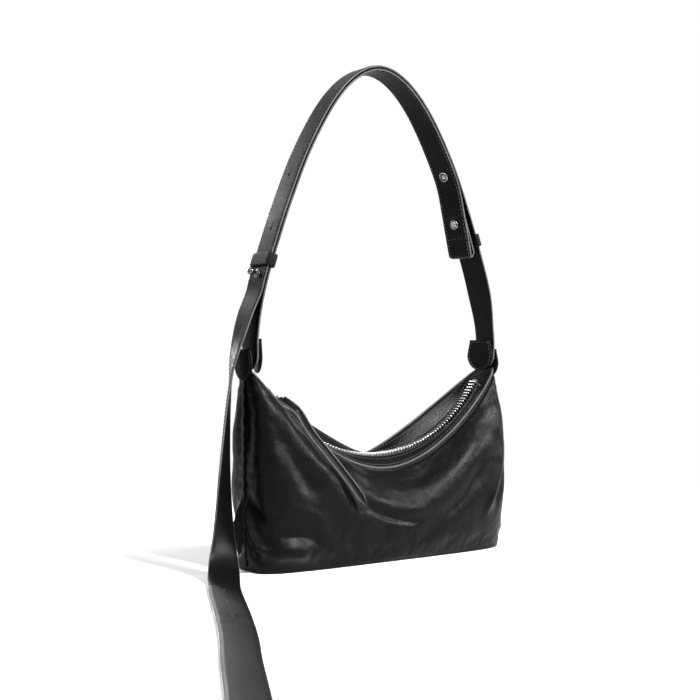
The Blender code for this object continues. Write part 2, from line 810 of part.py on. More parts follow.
def make_strap_tail():
    line, run, tangents, across, out = tail_frames()
    left = run[-1] - run
    tip = np.sqrt(np.clip(1 - (1 - np.clip(left / tail_tip_length, 0, 1)) ** 2, tail_tip_share, 1))
    bm = bmesh.new()
    ribbon(bm, line, across, out, strap_half_width * tip, strap_thickness)
    for vert in bm.verts:
        vert.co.z = max(vert.co.z, 0)
    tail = add_object("strap_tail", bm, leather("strap_tail"))
    makers = []
    for distance in tail_slot_distances:
        place = np.array([np.interp(distance, run, line[:, k]) for k in range(3)])
        i = int(np.argmin(np.abs(run - distance)))
        makers.append(slot_maker(place, tangents[i], out[i]))
    cut(tail, makers)


def loop_solid(name, centre, up, out, low, high, half_width):
    """Flat band that goes round a strap: a frame between an inner and an outer rectangle."""
    across = np.cross(out, up)
    grids = []
    for grow in (0, keeper_thickness):
        reach = half_width + grow
        corners = [(-reach, low - grow), (reach, low - grow), (reach, high + grow), (-reach, high + grow)]
        ring = []
        for side, depth in corners + corners[:1]:
            middle = centre + across * side + out * depth
            ring.append((middle - up * keeper_height / 2, middle + up * keeper_height / 2))
        grids.append(ring)
    bm = bmesh.new()
    inner = [[bm.verts.new(p) for p in pair] for pair in grids[0][:-1]]
    outer = [[bm.verts.new(p) for p in pair] for pair in grids[1][:-1]]
    for i in range(4):
        j = (i + 1) % 4
        bm.faces.new([inner[i][0], inner[i][1], inner[j][1], inner[j][0]])
        bm.faces.new([outer[i][0], outer[j][0], outer[j][1], outer[i][1]])
        bm.faces.new([inner[i][0], inner[j][0], outer[j][0], outer[i][0]])
        bm.faces.new([inner[i][1], outer[i][1], outer[j][1], inner[j][1]])
    keeper = add_object(name, bm, leather(name), pivot=centre)
    round_off = keeper.modifiers.new("rounded_edges", "BEVEL")
    round_off.width = keeper_corner_radius / 4
    round_off.segments = 1
    return keeper


def make_keepers():
    reach = strap_half_width + running_gap
    two_plies = 2 * strap_thickness + ply_gap
    centre, up, out = strap_place(up_strap(left_keeper_share), -1, 0)
    loop_solid("left_keeper", centre, up, out, -two_plies - running_gap, running_gap, reach)
    centre, up, out = strap_place(up_strap(right_keeper_share), 1, 0)
    loop_solid("right_keeper", centre, up, out, -strap_thickness - running_gap, running_gap, reach)


def make_studs():
    """Ball stud and its screw back on the left, screw and disc backs on the right."""
    face, up, out = strap_place(up_strap(stud_share), -1, 0)
    under, _, _ = strap_place(up_strap(stud_share), -1, 2 * strap_thickness + ply_gap)
    flange = stud_flange_thickness
    base = face + out * (layer_gap + flange / 2)
    neck = base + out * (flange / 2 + stud_neck_length / 2 - half_gap)
    ball = neck + out * (stud_neck_length / 2 + stud_ball_radius * ball_seat_share)

    def ball_maker(bm):
        made = bmesh.ops.create_uvsphere(bm, u_segments=16, v_segments=10, radius=stud_ball_radius)
        bmesh.ops.translate(bm, vec=Vector(ball), verts=made["verts"])

    makers = [
        lambda bm: add_cylinder(bm, base, out, stud_flange_radius, flange),
        lambda bm: add_cylinder(bm, neck, out, stud_neck_radius, stud_neck_length),
        ball_maker,
    ]
    join_solids("strap_stud", makers, metal("strap_stud"))
    back = under - out * (layer_gap + screw_head_thickness / 2)
    screw_back("stud_screw", back, up, out)
    for name, height, radius in (("fold_screw", up_strap(fold_screw_share), screw_head_radius),
                                 ("disc_stud", up_strap(disc_stud_share), disc_radius)):
        place, up, out = inner_face(height)
        centre = place - out * (layer_gap + screw_head_thickness / 2)
        if name == "fold_screw":
            screw_back(name, centre, up, out)
            continue
        bm = bmesh.new()
        add_cylinder(bm, centre, -out, radius, screw_head_thickness, radius * disc_rim_share)
        add_object(name, bm, metal(name), smooth=True)


def inner_face(height):
    """Point on the inner face of the inner strap's right leg at a height."""
    main, fold = inner_ply()
    line = np.array(list(main) + fold[:len(fold_leg_shares)])
    tangents, _, normals = strap_frames(line)
    right = [i for i in range(len(line)) if line[i, 0] > strap_half_span / 2]
    i = min(right, key=lambda k: abs(line[k, 2] - height))
    up, out = -tangents[i], normals[i]
    place = line[i] + up * (height - line[i, 2]) / up[2]
    return place - out * strap_thickness / 2, up, out


def screw_back(name, centre, up, out):
    """Flat round screw head with a driver slot in its face."""
    bm = bmesh.new()
    add_cylinder(bm, centre, out, screw_head_radius, screw_head_thickness)
    head = add_object(name, bm, metal(name), smooth=True)
    face = centre - out * screw_head_thickness / 2
    turn = Matrix((tuple(np.cross(out, up)), tuple(out), tuple(up))).transposed()
    size = (screw_slot_width, 2 * screw_slot_depth, 2 * screw_head_radius + cutter_overrun)
    cut(head, [lambda bm: add_box(bm, face, size, turn)])


def tab_solid(name, x_inner, x_outer, bottom, top):
    """Tab with a straight top and a round bottom, cut across the strap."""
    radius = tab_width / 2
    outline = [(-radius, top), (-radius, bottom + radius)]
    for turn in np.linspace(math.pi, 2 * math.pi, 13)[1:-1]:
        outline.append((radius * math.cos(turn), bottom + radius + radius * math.sin(turn)))
    outline += [(radius, bottom + radius), (radius, top)]
    bm = bmesh.new()
    near = [bm.verts.new((x_inner, y, z)) for y, z in outline]
    far = [bm.verts.new((x_outer, y, z)) for y, z in outline]
    bm.faces.new(near)
    bm.faces.new(far[::-1])
    grid_faces(bm, [near + [near[0]], far + [far[0]]])
    add_object(name, bm, leather(name))


def make_tabs():
    """An inner and an outer tab at each end clasp the foot of a strap."""
    outer_face = bag_half_length + layer_gap
    for name, side, depth in (("left", -1, ply_step), ("right", 1, 0)):
        strap_out = strap_half_span - depth
        strap_in = strap_out - strap_thickness - tab_swing_clearance
        tab_solid(name + "_outer_tab", side * outer_face, side * (outer_face + tab_thickness),
                  horn_height + outer_tab_bottom_rise, horn_height + outer_tab_top_rise)
        tab_solid(name + "_inner_tab", side * (strap_in - tab_thickness), side * strap_in,
                  horn_height + inner_tab_bottom_rise, horn_height + inner_tab_top_rise)


def make_anchor_plates():
    """Stiffener inside each horn, behind the panels' end seam."""
    middle = horn_height + outer_tab_bottom_rise - anchor_plate_height / 2
    x = bag_half_length - panel_thickness - anchor_clearance - anchor_plate_thickness / 2
    for name, side in (("left_anchor_plate", -1), ("right_anchor_plate", 1)):
        bm = bmesh.new()
        add_box(bm, (side * x, 0, middle), (anchor_plate_thickness, anchor_plate_width, anchor_plate_height))
        add_object(name, bm, make_material(name + "_board", board_colour, 0.9))


if __name__ == "__main__":
    clear_scene()
    make_panels()
    make_linings()
    make_base_board()
    make_inner_pocket()
    make_facings_and_tapes()
    make_teeth()
    make_end_stops()
    make_slider()
    make_pull_ring()
    make_zip_pull()
    make_outer_strap()
    make_inner_strap()
    make_strap_tail()
    make_keepers()
    make_studs()
    make_tabs()
    make_anchor_plates()
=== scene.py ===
# %% [markdown]
# # A soft leather underarm bag
# The bag is a crescent of soft black leather with a curved zip, a long leather zip pull and a
# shoulder strap of two plies whose free end trails away. We rebuild it here piece by piece
# round a fixed frame of solids, which says where everything is and what moves with what.

# %% Load the frame
import math

import bmesh
import bpy
import numpy as np
from mathutils import Matrix, Vector, noise


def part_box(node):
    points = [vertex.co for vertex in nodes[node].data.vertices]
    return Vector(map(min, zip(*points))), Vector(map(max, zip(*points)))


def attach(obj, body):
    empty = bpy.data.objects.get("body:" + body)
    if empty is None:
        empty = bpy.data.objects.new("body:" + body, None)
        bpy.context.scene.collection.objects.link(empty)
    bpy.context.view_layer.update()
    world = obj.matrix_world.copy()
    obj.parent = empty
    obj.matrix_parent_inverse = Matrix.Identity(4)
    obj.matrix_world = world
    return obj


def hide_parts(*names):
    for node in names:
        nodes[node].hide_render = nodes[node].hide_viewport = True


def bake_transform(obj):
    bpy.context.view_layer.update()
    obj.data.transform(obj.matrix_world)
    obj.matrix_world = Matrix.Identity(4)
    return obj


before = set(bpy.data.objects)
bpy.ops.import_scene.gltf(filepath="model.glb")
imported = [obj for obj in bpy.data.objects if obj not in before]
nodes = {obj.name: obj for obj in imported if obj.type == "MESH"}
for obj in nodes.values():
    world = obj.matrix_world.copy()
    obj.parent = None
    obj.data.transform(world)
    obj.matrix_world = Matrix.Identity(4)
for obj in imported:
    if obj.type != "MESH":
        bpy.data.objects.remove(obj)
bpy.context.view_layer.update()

# %% [markdown]
# ## Camera
# The photograph looks level at the bag from its front left, from about a metre away, with a
# short telephoto lens. The numbers come from fitting the corners and the strap's arch.

# %% Camera
LENS = 63.3
SENSOR_WIDTH = 36.0
CAMERA_PLACE = (-0.651, -0.8916, 0.185)
CAMERA_AIM = (0.5736, 0.8192, 0.0)
bpy.context.scene.view_settings.view_transform = "Standard"
camera_data = bpy.data.cameras.new("camera")
camera_data.lens = LENS
camera_data.sensor_width = SENSOR_WIDTH
camera = bpy.data.objects.new("camera", camera_data)
camera.location = CAMERA_PLACE
camera.rotation_euler = Vector(CAMERA_AIM).to_track_quat("-Z", "Y").to_euler()
bpy.context.scene.collection.objects.link(camera)
bpy.context.scene.camera = camera
print("camera at", tuple(camera.location))

# %% [markdown]
# ## Small mesh tools
# Most pieces are grids: rows of points that follow a seam, a strap or the zip. These helpers
# turn rows into a mesh object at the origin, smooth a line through a few points, and give the
# finished piece its body and hide the solid that it stands for.


# %% Mesh helpers
def link(name, mesh, material):
    piece = bpy.data.objects.new(name, mesh)
    bpy.context.scene.collection.objects.link(piece)
    mesh.materials.clear()
    if material is not None:
        mesh.materials.append(material)
    return piece


def mesh_from(name, points, faces, material, uvs=None):
    """A smooth-shaded object from points and faces, with a UV for each point where given."""
    mesh = bpy.data.meshes.new(name)
    mesh.from_pydata([tuple(p) for p in points], [], faces)
    mesh.validate()
    mesh.shade_smooth()
    if uvs is not None:
        layer = mesh.uv_layers.new(name="along_across")
        corners = np.empty(len(mesh.loops), dtype=np.int32)
        mesh.loops.foreach_get("vertex_index", corners)
        layer.data.foreach_set("uv", np.asarray(uvs, dtype=np.float32)[corners].ravel())
    return link(name, mesh, material)


def grid_quads(rows, columns, wrap=False, start=0):
    """Faces of a grid of points stored row after row; wrap joins the last column to the first."""
    faces = []
    for r in range(rows - 1):
        for c in range(columns if wrap else columns - 1):
            d = (c + 1) % columns
            faces.append((start + r * columns + c, start + r * columns + d,
                          start + (r + 1) * columns + d, start + (r + 1) * columns + c))
    return faces


def tube_faces(rings, sides, flip_ends=False):
    """Faces of a tube of points, ring after ring, with a polygon over each end."""
    step = -1 if flip_ends else 1
    first = tuple(range(sides))
    last = tuple((rings - 1) * sides + i for i in first)
    return grid_quads(rings, sides, wrap=True) + [first[::-step], last[::step]]


def sheet_faces(rows, columns):
    """Faces of a thin sheet: a grid, a second one under it and a wall round their border."""
    count = rows * columns
    faces = grid_quads(rows, columns)
    faces += [face[::-1] for face in grid_quads(rows, columns, start=count)]
    border = [(0, c) for c in range(columns)] + [(r, columns - 1) for r in range(1, rows)]
    border += [(rows - 1, c) for c in range(columns - 2, -1, -1)]
    border += [(r, 0) for r in range(rows - 2, 0, -1)]
    for (r, c), (s, d) in zip(border, border[1:] + border[:1]):
        a, b = r * columns + c, s * columns + d
        faces.append((b, a, a + count, b + count))
    return faces


def recalculate_normals(piece):
    bm = bmesh.new()
    bm.from_mesh(piece.data)
    bmesh.ops.recalc_face_normals(bm, faces=bm.faces)
    bm.to_mesh(piece.data)
    bm.free()


def solid_from(name, points, faces, material, uvs=None):
    """A closed object from points and faces, with all its faces turned outwards."""
    piece = mesh_from(name, points, faces, material, uvs)
    recalculate_normals(piece)
    return piece


def apply_modifiers(piece):
    """Puts the evaluated mesh in the place of the piece's own and clears its modifiers."""
    graph = bpy.context.evaluated_depsgraph_get()
    graph.update()
    made = bpy.data.meshes.new_from_object(piece.evaluated_get(graph))
    piece.modifiers.clear()
    piece.data = made
    return piece


def finish(piece, body, slot, *solids):
    """Every piece rides on a body and may stand for solids, which it hides; the slot argument is not
    used.
    """
    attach(piece, body)
    if solids:
        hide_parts(*solids)
    return piece


def catmull_rom(points, places):
    """Values of a smooth curve through rows of points, at places counted in rows."""
    pts = np.asarray(points, dtype=float)
    ends = np.concatenate([[2 * pts[0] - pts[1]], pts, [2 * pts[-1] - pts[-2]]])
    places = np.clip(np.asarray(places, dtype=float), 0, len(pts) - 1 - 1e-9)
    low = places.astype(int)
    t = (places - low).reshape((-1,) + (1,) * (pts.ndim - 1))
    a, b, c, d = ends[low], ends[low + 1], ends[low + 2], ends[low + 3]
    return 0.5 * (2 * b + (c - a) * t + (2 * a - 5 * b + 4 * c - d) * t ** 2
                  + (3 * b - a - 3 * c + d) * t ** 3)


def distances(points):
    """How far along a line each of its points is."""
    return np.concatenate([[0], np.cumsum(np.linalg.norm(np.diff(points, axis=0), axis=1))])


def even_curve(points, count, fineness=16):
    """Even samples along a smooth curve through the points, and their distances."""
    steps = (len(points) - 1) * fineness + 1
    fine = catmull_rom(points, np.linspace(0, len(points) - 1, steps))
    run = distances(fine)
    at = np.linspace(0, run[-1], count)
    return np.stack([np.interp(at, run, fine[:, k]) for k in range(3)], axis=1), at


def unit(rows):
    return rows / np.maximum(np.linalg.norm(rows, axis=-1, keepdims=True), 1e-12)


def smooth_step(low, high, value):
    share = np.clip((np.asarray(value, dtype=float) - low) / (high - low), 0, 1)
    return share * share * (3 - 2 * share)


# %% [markdown]
# ## Materials
# Black leather is never flat: it has a fine grain, slow changes of gloss where hands have
# polished it, and paler worn places here and there. Each of these is a node group that gives
# only a mask, a height or a value, so that body, strap and trim can share it with their own
# numbers, while each material keeps its own Principled shader.


# %% Node helpers
def new_group(name, inputs, outputs):
    group = bpy.data.node_groups.new(name, "ShaderNodeTree")
    for title, kind, value in inputs:
        socket = group.interface.new_socket(name=title, in_out="INPUT", socket_type=kind)
        socket.default_value = value
    for title, kind in outputs:
        group.interface.new_socket(name=title, in_out="OUTPUT", socket_type=kind)
    return group, group.nodes.new("NodeGroupInput"), group.nodes.new("NodeGroupOutput")


def add_math(tree, operation, first, second=None, third=None, clamp=False):
    node = tree.nodes.new("ShaderNodeMath")
    node.operation = operation
    node.use_clamp = clamp
    for socket, value in zip(node.inputs, (first, second, third)):
        if value is None:
            continue
        if isinstance(value, (int, float)):
            socket.default_value = value
        else:
            tree.links.new(value, socket)
    return node.outputs[0]


def add_noise(tree, vector, scale, detail=3.0, roughness=0.55):
    node = tree.nodes.new("ShaderNodeTexNoise")
    node.inputs["Detail"].default_value = detail
    node.inputs["Roughness"].default_value = roughness
    tree.links.new(vector, node.inputs["Vector"])
    if isinstance(scale, (int, float)):
        node.inputs["Scale"].default_value = scale
    else:
        tree.links.new(scale, node.inputs["Scale"])
    return node.outputs["Fac"]


def add_ramp(tree, value, low, high):
    node = tree.nodes.new("ShaderNodeMapRange")
    node.interpolation_type = "SMOOTHSTEP"
    node.inputs["From Min"].default_value = low
    node.inputs["From Max"].default_value = high
    tree.links.new(value, node.inputs["Value"])
    return node.outputs["Result"]


def object_coordinates(tree):
    return tree.nodes.new("ShaderNodeTexCoord").outputs["Object"]


def new_material(name):
    """A material, its node tree and its own Principled shader."""
    material = bpy.data.materials.new(name)
    material.use_nodes = True
    return material, material.node_tree, material.node_tree.nodes["Principled BSDF"]


def spread_to(tree, mask, low, high, target):
    """Feeds a socket with a value that goes from low to high with the mask."""
    spread = tree.nodes.new("ShaderNodeMapRange")
    spread.inputs["To Min"].default_value = low
    spread.inputs["To Max"].default_value = high
    tree.links.new(mask, spread.inputs["Value"])
    tree.links.new(spread.outputs["Result"], target)


def colour_to(tree, mask, dark, pale, target):
    """Feeds a socket with a colour that goes from dark to pale with the mask."""
    colour = tree.nodes.new("ShaderNodeMix")
    colour.data_type = "RGBA"
    colour.inputs[6].default_value = (*dark, 1)
    colour.inputs[7].default_value = (*pale, 1)
    tree.links.new(mask, colour.inputs[0])
    tree.links.new(colour.outputs[2], target)


def relief_to(tree, height, strength, distance, shader):
    """Puts a height into a shader's normals as a bump."""
    relief = tree.nodes.new("ShaderNodeBump")
    relief.inputs["Strength"].default_value = strength
    relief.inputs["Distance"].default_value = distance
    tree.links.new(height, relief.inputs["Height"])
    tree.links.new(relief.outputs["Normal"], shader.inputs["Normal"])


def direct_rays(tree):
    """The outputs of a Light Path node, and a mask of camera rays and mirror-like rays."""
    paths = tree.nodes.new("ShaderNodeLightPath").outputs
    return paths, add_math(tree, "MAXIMUM", paths["Is Camera Ray"], paths["Is Glossy Ray"])


# %% Leather grain group
def leather_grain_group():
    """Pebbles from Voronoi cells with fine pores and long soft creases between them."""
    group, source, sink = new_group(
        "leather_grain",
        [("Vector", "NodeSocketVector", (0, 0, 0)), ("Pebble Scale", "NodeSocketFloat", 900.0),
         ("Crease Scale", "NodeSocketFloat", 60.0), ("Crease Depth", "NodeSocketFloat", 0.5)],
        [("Height", "NodeSocketFloat"), ("Wear", "NodeSocketFloat")])
    vector = source.outputs["Vector"]
    cells = group.nodes.new("ShaderNodeTexVoronoi")
    cells.feature = "DISTANCE_TO_EDGE"
    group.links.new(vector, cells.inputs["Vector"])
    group.links.new(source.outputs["Pebble Scale"], cells.inputs["Scale"])
    pebbles = add_ramp(group, cells.outputs["Distance"], 0.0, 0.25)
    creases = add_noise(group, vector, source.outputs["Crease Scale"], 5.0, 0.6)
    folded = add_math(group, "ABSOLUTE", add_math(group, "SUBTRACT", creases, 0.5))
    valley = add_math(group, "SUBTRACT", 1.0, add_ramp(group, folded, 0.0, 0.05))
    depth = add_math(group, "MULTIPLY", valley, source.outputs["Crease Depth"])
    height = add_math(group, "SUBTRACT", pebbles, depth)
    group.links.new(height, sink.inputs["Height"])
    wear = add_ramp(group, add_noise(group, vector, 22.0, 4.0, 0.6), 0.35, 0.75)
    group.links.new(wear, sink.inputs["Wear"])
    return group


leather_grain = leather_grain_group()
print("group", leather_grain.name)


# %% Leather material
GRAIN_DEPTH = 0.00008
GRAIN_MEAN = 0.55
VALLEY_ROUGHNESS = 0.14
MEAN_SHINE = 0.84


def leather_material(name, dark, pale, roughness, pebble, crease, bump, crease_depth, shine=0.07):
    """Leather whose colour and gloss drift with wear, and whose grain is in its normals."""
    material, tree, shader = new_material(name)
    grain = tree.nodes.new("ShaderNodeGroup")
    grain.node_tree = leather_grain
    tree.links.new(object_coordinates(tree), grain.inputs["Vector"])
    grain.inputs["Pebble Scale"].default_value = pebble
    grain.inputs["Crease Scale"].default_value = crease
    grain.inputs["Crease Depth"].default_value = crease_depth
    colour_to(tree, grain.outputs["Wear"], dark, pale, shader.inputs["Base Color"])
    matt, glossy = roughness
    worn = add_math(tree, "MULTIPLY_ADD", grain.outputs["Wear"], glossy - matt,
                    matt + VALLEY_ROUGHNESS * GRAIN_MEAN)
    rough = add_math(tree, "MULTIPLY_ADD", grain.outputs["Height"], -VALLEY_ROUGHNESS, worn, clamp=True)
    tree.links.new(rough, shader.inputs["Roughness"])
    shader.inputs["Specular IOR Level"].default_value = shine * MEAN_SHINE
    relief_to(tree, grain.outputs["Height"], bump, GRAIN_DEPTH, shader)
    return material


body_leather = leather_material("body_leather", (0.0010, 0.0010, 0.0011), (0.0022, 0.0022, 0.0024),
                                (0.34, 0.24), 900.0, 70.0, 0.50, 0.18)
strap_leather = leather_material("strap_leather", (0.0018, 0.0018, 0.0019), (0.0036, 0.0036, 0.0039),
                                 (0.40, 0.30), 1200.0, 120.0, 0.20, 0.15)
# Pale grey edge colour: edge paint on cut edges, and a painted highlight along edges and rolled rims.
edge_paint_and_highlight = leather_material("edge_paint_and_highlight", (0.045, 0.045, 0.046), (0.075, 0.075, 0.077),
                              (0.42, 0.32), 2000.0, 200.0, 0.1, 0.1)
thread = leather_material("waxed_thread", (0.035, 0.035, 0.036), (0.060, 0.060, 0.062),
                          (0.55, 0.45), 2600.0, 900.0, 0.5, 0.1)


# %% Metal and cloth materials
def metal_material(name, colour, smoothest, roughest):
    """Plated metal: a faint haze of fine scratches and fingerprints in its gloss."""
    material, tree, shader = new_material(name)
    shader.inputs["Base Color"].default_value = (*colour, 1)
    shader.inputs["Metallic"].default_value = 1.0
    haze = add_noise(tree, object_coordinates(tree), 350.0, 4.0, 0.7)
    spread_to(tree, haze, smoothest, roughest, shader.inputs["Roughness"])
    return material


def weave_group():
    """Two crossed sets of yarns: a height for the bump and a mask of painted shade between the yarns for
    the colour.
    """
    group, source, sink = new_group(
        "plain_weave",
        [("Vector", "NodeSocketVector", (0, 0, 0)), ("Yarns Per Metre", "NodeSocketFloat", 2500.0)],
        [("Height", "NodeSocketFloat"), ("Mask", "NodeSocketFloat")])
    split = group.nodes.new("ShaderNodeSeparateXYZ")
    group.links.new(source.outputs["Vector"], split.inputs["Vector"])
    pitch = add_math(group, "MULTIPLY", source.outputs["Yarns Per Metre"], math.pi)
    across = add_math(group, "ADD", split.outputs["X"], split.outputs["Y"])
    first = add_math(group, "SINE", add_math(group, "MULTIPLY", across, pitch))
    second = add_math(group, "SINE", add_math(group, "MULTIPLY", split.outputs["Z"], pitch))
    woven = add_math(group, "MULTIPLY", first, second)
    height = add_math(group, "MULTIPLY_ADD", woven, 0.5, 0.5)
    group.links.new(height, sink.inputs["Height"])
    group.links.new(add_ramp(group, height, 0.3, 0.8), sink.inputs["Mask"])
    return group


YARN_DEPTH = 0.0003
plain_weave = weave_group()


def cloth_material(name, dark, pale, yarns, bump):
    """Matt woven cloth, painted paler on top of its yarns and darker between them as painted shade."""
    material, tree, shader = new_material(name)
    weave = tree.nodes.new("ShaderNodeGroup")
    weave.node_tree = plain_weave
    weave.inputs["Yarns Per Metre"].default_value = yarns
    tree.links.new(object_coordinates(tree), weave.inputs["Vector"])
    # Painted shade: the colour is darker between the yarns and paler on their tops.
    colour_to(tree, weave.outputs["Mask"], dark, pale, shader.inputs["Base Color"])
    relief_to(tree, weave.outputs["Height"], bump, YARN_DEPTH, shader)
    shader.inputs["Roughness"].default_value = 0.85
    return material


polished_metal = metal_material("polished_metal", (0.30, 0.30, 0.31), 0.14, 0.30)
dark_metal = metal_material("dark_polished_metal", (0.10, 0.10, 0.105), 0.16, 0.32)
# Dark metal for the recessed bands of turned studs: painted shade in the grooves.
groove_shade_metal = metal_material("painted_groove_shade_metal", (0.03, 0.03, 0.03), 0.35, 0.55)
teeth_metal = metal_material("zip_teeth_metal", (0.62, 0.62, 0.61), 0.18, 0.34)
tape_cloth = cloth_material("zip_tape_cloth", (0.006, 0.006, 0.007), (0.016, 0.016, 0.017),
                            1900.0, 0.5)
lining_cloth = cloth_material("lining_cloth", (0.010, 0.010, 0.011), (0.026, 0.026, 0.028), 2600.0, 0.4)
board_cloth = cloth_material("fibre_board", (0.07, 0.06, 0.05), (0.14, 0.12, 0.10), 900.0, 0.2)
print("materials", len(bpy.data.materials))

# %% [markdown]
# ## The body of the bag
# The body is cut as two leather panels that meet in a seam round the ends and under the base.
# Its shape is a loft: rows of points run from the bottom seam, round the base, up the belly
# and over to a saddle-shaped rim. We take the frame's control rows and smooth them into a fine
# grid, and then press the folds of the soft leather into it along its normals.

# %% Body sizes
BAG_HALF_LENGTH = 0.134
BASE_HALF_LENGTH = 0.131
HORN_HEIGHT = 0.168
PANEL_THICKNESS = 0.0018
END_SQUARENESS = 5.0
BOTTOM_SEAM_SHIFT = 0.005
SEAM_HALF_GAP = 0.00015
SEAM_BLEND = 0.004
DEPTH_STAGES = (0.0, 0.033, 0.042, 0.018)
RIMS = {"front": (-1, 0.080, 1.9), "back": (1, 0.090, 1.2)}
ROW_SHARES = (
    (0.0, 0.0, 0), (0.0, 0.5, 0), (0.0, 0.9, 0), (0.03, 0.0, 1), (0.10, 0.35, 1), (0.22, 0.75, 1),
    (0.40, 0.0, 2), (0.58, 0.06, 2), (0.74, 0.22, 2), (0.87, 0.52, 2), (0.95, 0.80, 2), (1.0, 1.0, 2),
)
LENGTH_SHARES = (0.0, 0.0, 0.0, 0.3, 0.65, 0.85, 1.0, 1.0, 1.0, 1.0, 1.0, 1.0)


def rim_height(x, saddle, power):
    share = np.clip(np.abs(x) / BAG_HALF_LENGTH, 0, 1)
    return saddle + (HORN_HEIGHT - saddle) * share ** power


def rim_depth(x):
    share = np.clip(np.abs(x) / BAG_HALF_LENGTH, 0, 1)
    return DEPTH_STAGES[3] * (1 - share ** END_SQUARENESS) ** (1 / END_SQUARENESS)


def section_shares(columns):
    """Points evenly spaced round half of the plan outline, as shares of its length and depth."""
    turn = np.linspace(0, math.pi, 4001)
    powers = np.abs(np.cos(turn)) ** END_SQUARENESS + np.abs(np.sin(turn)) ** END_SQUARENESS
    reach = powers ** (-1 / END_SQUARENESS)
    along, across = -reach * np.cos(turn), reach * np.sin(turn)
    steps = np.hypot(np.diff(along) * BAG_HALF_LENGTH, np.diff(across) * DEPTH_STAGES[2])
    passed = np.concatenate([[0], np.cumsum(steps)])
    even = np.linspace(0, passed[-1], columns)
    return np.interp(even, passed, along), np.maximum(np.interp(even, passed, across), 0)


def body_grid(which, columns, rows, inset=0.0, top_row=11.0):
    """Fine grid of one half of the body, from the bottom seam (row 0) up to top_row."""
    side, saddle, power = RIMS[which]
    along, across = section_shares(columns)
    heights = rim_height(along * BAG_HALF_LENGTH, saddle, power)
    control = []
    for (rise, opened, stage), grown in zip(ROW_SHARES, LENGTH_SHARES):
        half = BASE_HALF_LENGTH + (BAG_HALF_LENGTH - BASE_HALF_LENGTH) * grown - inset
        depth = DEPTH_STAGES[stage] + (DEPTH_STAGES[stage + 1] - DEPTH_STAGES[stage]) * opened
        depth = max(depth - inset, 0)
        control.append(np.stack([half * along, side * (depth * across + SEAM_HALF_GAP),
                                 inset + rise * (heights - inset)], axis=1))
    control[0][:, 1] += BOTTOM_SEAM_SHIFT * across
    grid = catmull_rom(np.array(control), np.linspace(0, top_row, rows))
    grid[:, :, 2] = np.maximum(grid[:, :, 2], inset)
    return grid


def grid_normals(grid, side):
    """Outward normals of a body grid, by the cross product of its two directions."""
    along = np.gradient(grid, axis=1)
    up = np.gradient(grid, axis=0)
    normals = unit(np.cross(along, up) if side < 0 else np.cross(up, along))
    ends = np.sign(grid[:, :, :1]) * np.array([1.0, 0, 0])
    near = np.exp(-(grid[:, :, 1:2] / SEAM_BLEND) ** 2)
    near = near * (np.abs(grid[:, :, :1]) > BASE_HALF_LENGTH * 0.98)
    return unit(normals * (1 - near) + ends * near)


print("front grid", body_grid("front", 9, 7).shape)

# %% [markdown]
# ### Folds
# Soft leather that stands by itself slumps: ridges run down from the horns, where the strap's
# pull ends, and creases gather at the corners. Each fold is a line on the panel as seen from
# the front, with a width and a height; a valley has a negative height. Noise at three scales
# adds the slow waves between them. The smallest wrinkles come from a cloth simulation: each
# panel is held at its rim, seams and base, shrinks a little near them and is filled from inside,
# and only the short waves of what it does are kept.

# %% Fold tables, in millimetres: points (x, z), half width, height
MM = 0.001
FRONT_FOLDS = (
    (((-128, 160), (-116, 134), (-101, 110), (-86, 92), (-70, 76), (-58, 62)), 9.0, 3.4),
    (((-122, 122), (-110, 98), (-98, 78), (-88, 58)), 8.0, -2.6),
    (((-51, 92), (-38, 80), (-26, 70)), 5.0, 1.4),
    (((-34, 50), (-16, 42), (8, 36), (26, 37)), 3.2, -2.4),
    (((-40, 62), (-18, 52), (10, 47), (34, 52)), 7.0, 2.2),
    (((14, 44), (50, 64), (84, 92), (112, 124)), 11.0, 3.6),
    (((38, 34), (70, 52), (100, 84)), 7.0, -2.8),
    (((-8, 70), (26, 72), (60, 90)), 6.0, -1.2),
    (((122, 100), (117, 78), (106, 52), (97, 34)), 4.2, 3.4),
    (((127, 84), (121, 62), (112, 40)), 5.0, -2.4),
    (((124, 140), (119, 118), (117, 100)), 5.0, 1.8),
    (((-128, 15), (-110, 19), (-90, 15)), 8.0, 5.4),
    (((-128, 34), (-112, 33), (-94, 30), (-76, 20)), 5.0, -2.6),
    (((-122, 62), (-98, 46), (-72, 34)), 8.0, 2.0),
    (((-66, 22), (-30, 14), (10, 13)), 7.0, -1.4),
    (((20, 16), (60, 22), (104, 18)), 7.0, 1.6),
)
BACK_FOLDS = (
    (((-124, 150), (-104, 112), (-78, 78), (-44, 56)), 9.0, 2.8),
    (((124, 150), (106, 116), (84, 84), (54, 62)), 9.0, 2.8),
    (((-100, 96), (-72, 62), (-50, 44)), 6.0, -2.0),
    (((100, 98), (78, 66), (52, 46)), 6.0, -2.0),
    (((-30, 40), (0, 34), (34, 40)), 9.0, -1.4),
    (((-120, 40), (-104, 24), (-84, 16)), 6.0, -1.6),
    (((120, 40), (104, 24), (84, 16)), 6.0, -1.6),
)
END_FOLDS = (
    (((-3, 60), (-10, 40), (-22, 23), (-39, 12)), 3.2, 6.2),
    (((-1, 44), (-6, 27), (-16, 14), (-30, 7)), 3.6, -5.0),
    (((-12, 62), (-24, 44), (-34, 26)), 4.5, -1.8),
    (((-5, 150), (-8, 120), (-6, 90)), 4.0, -1.2),
)


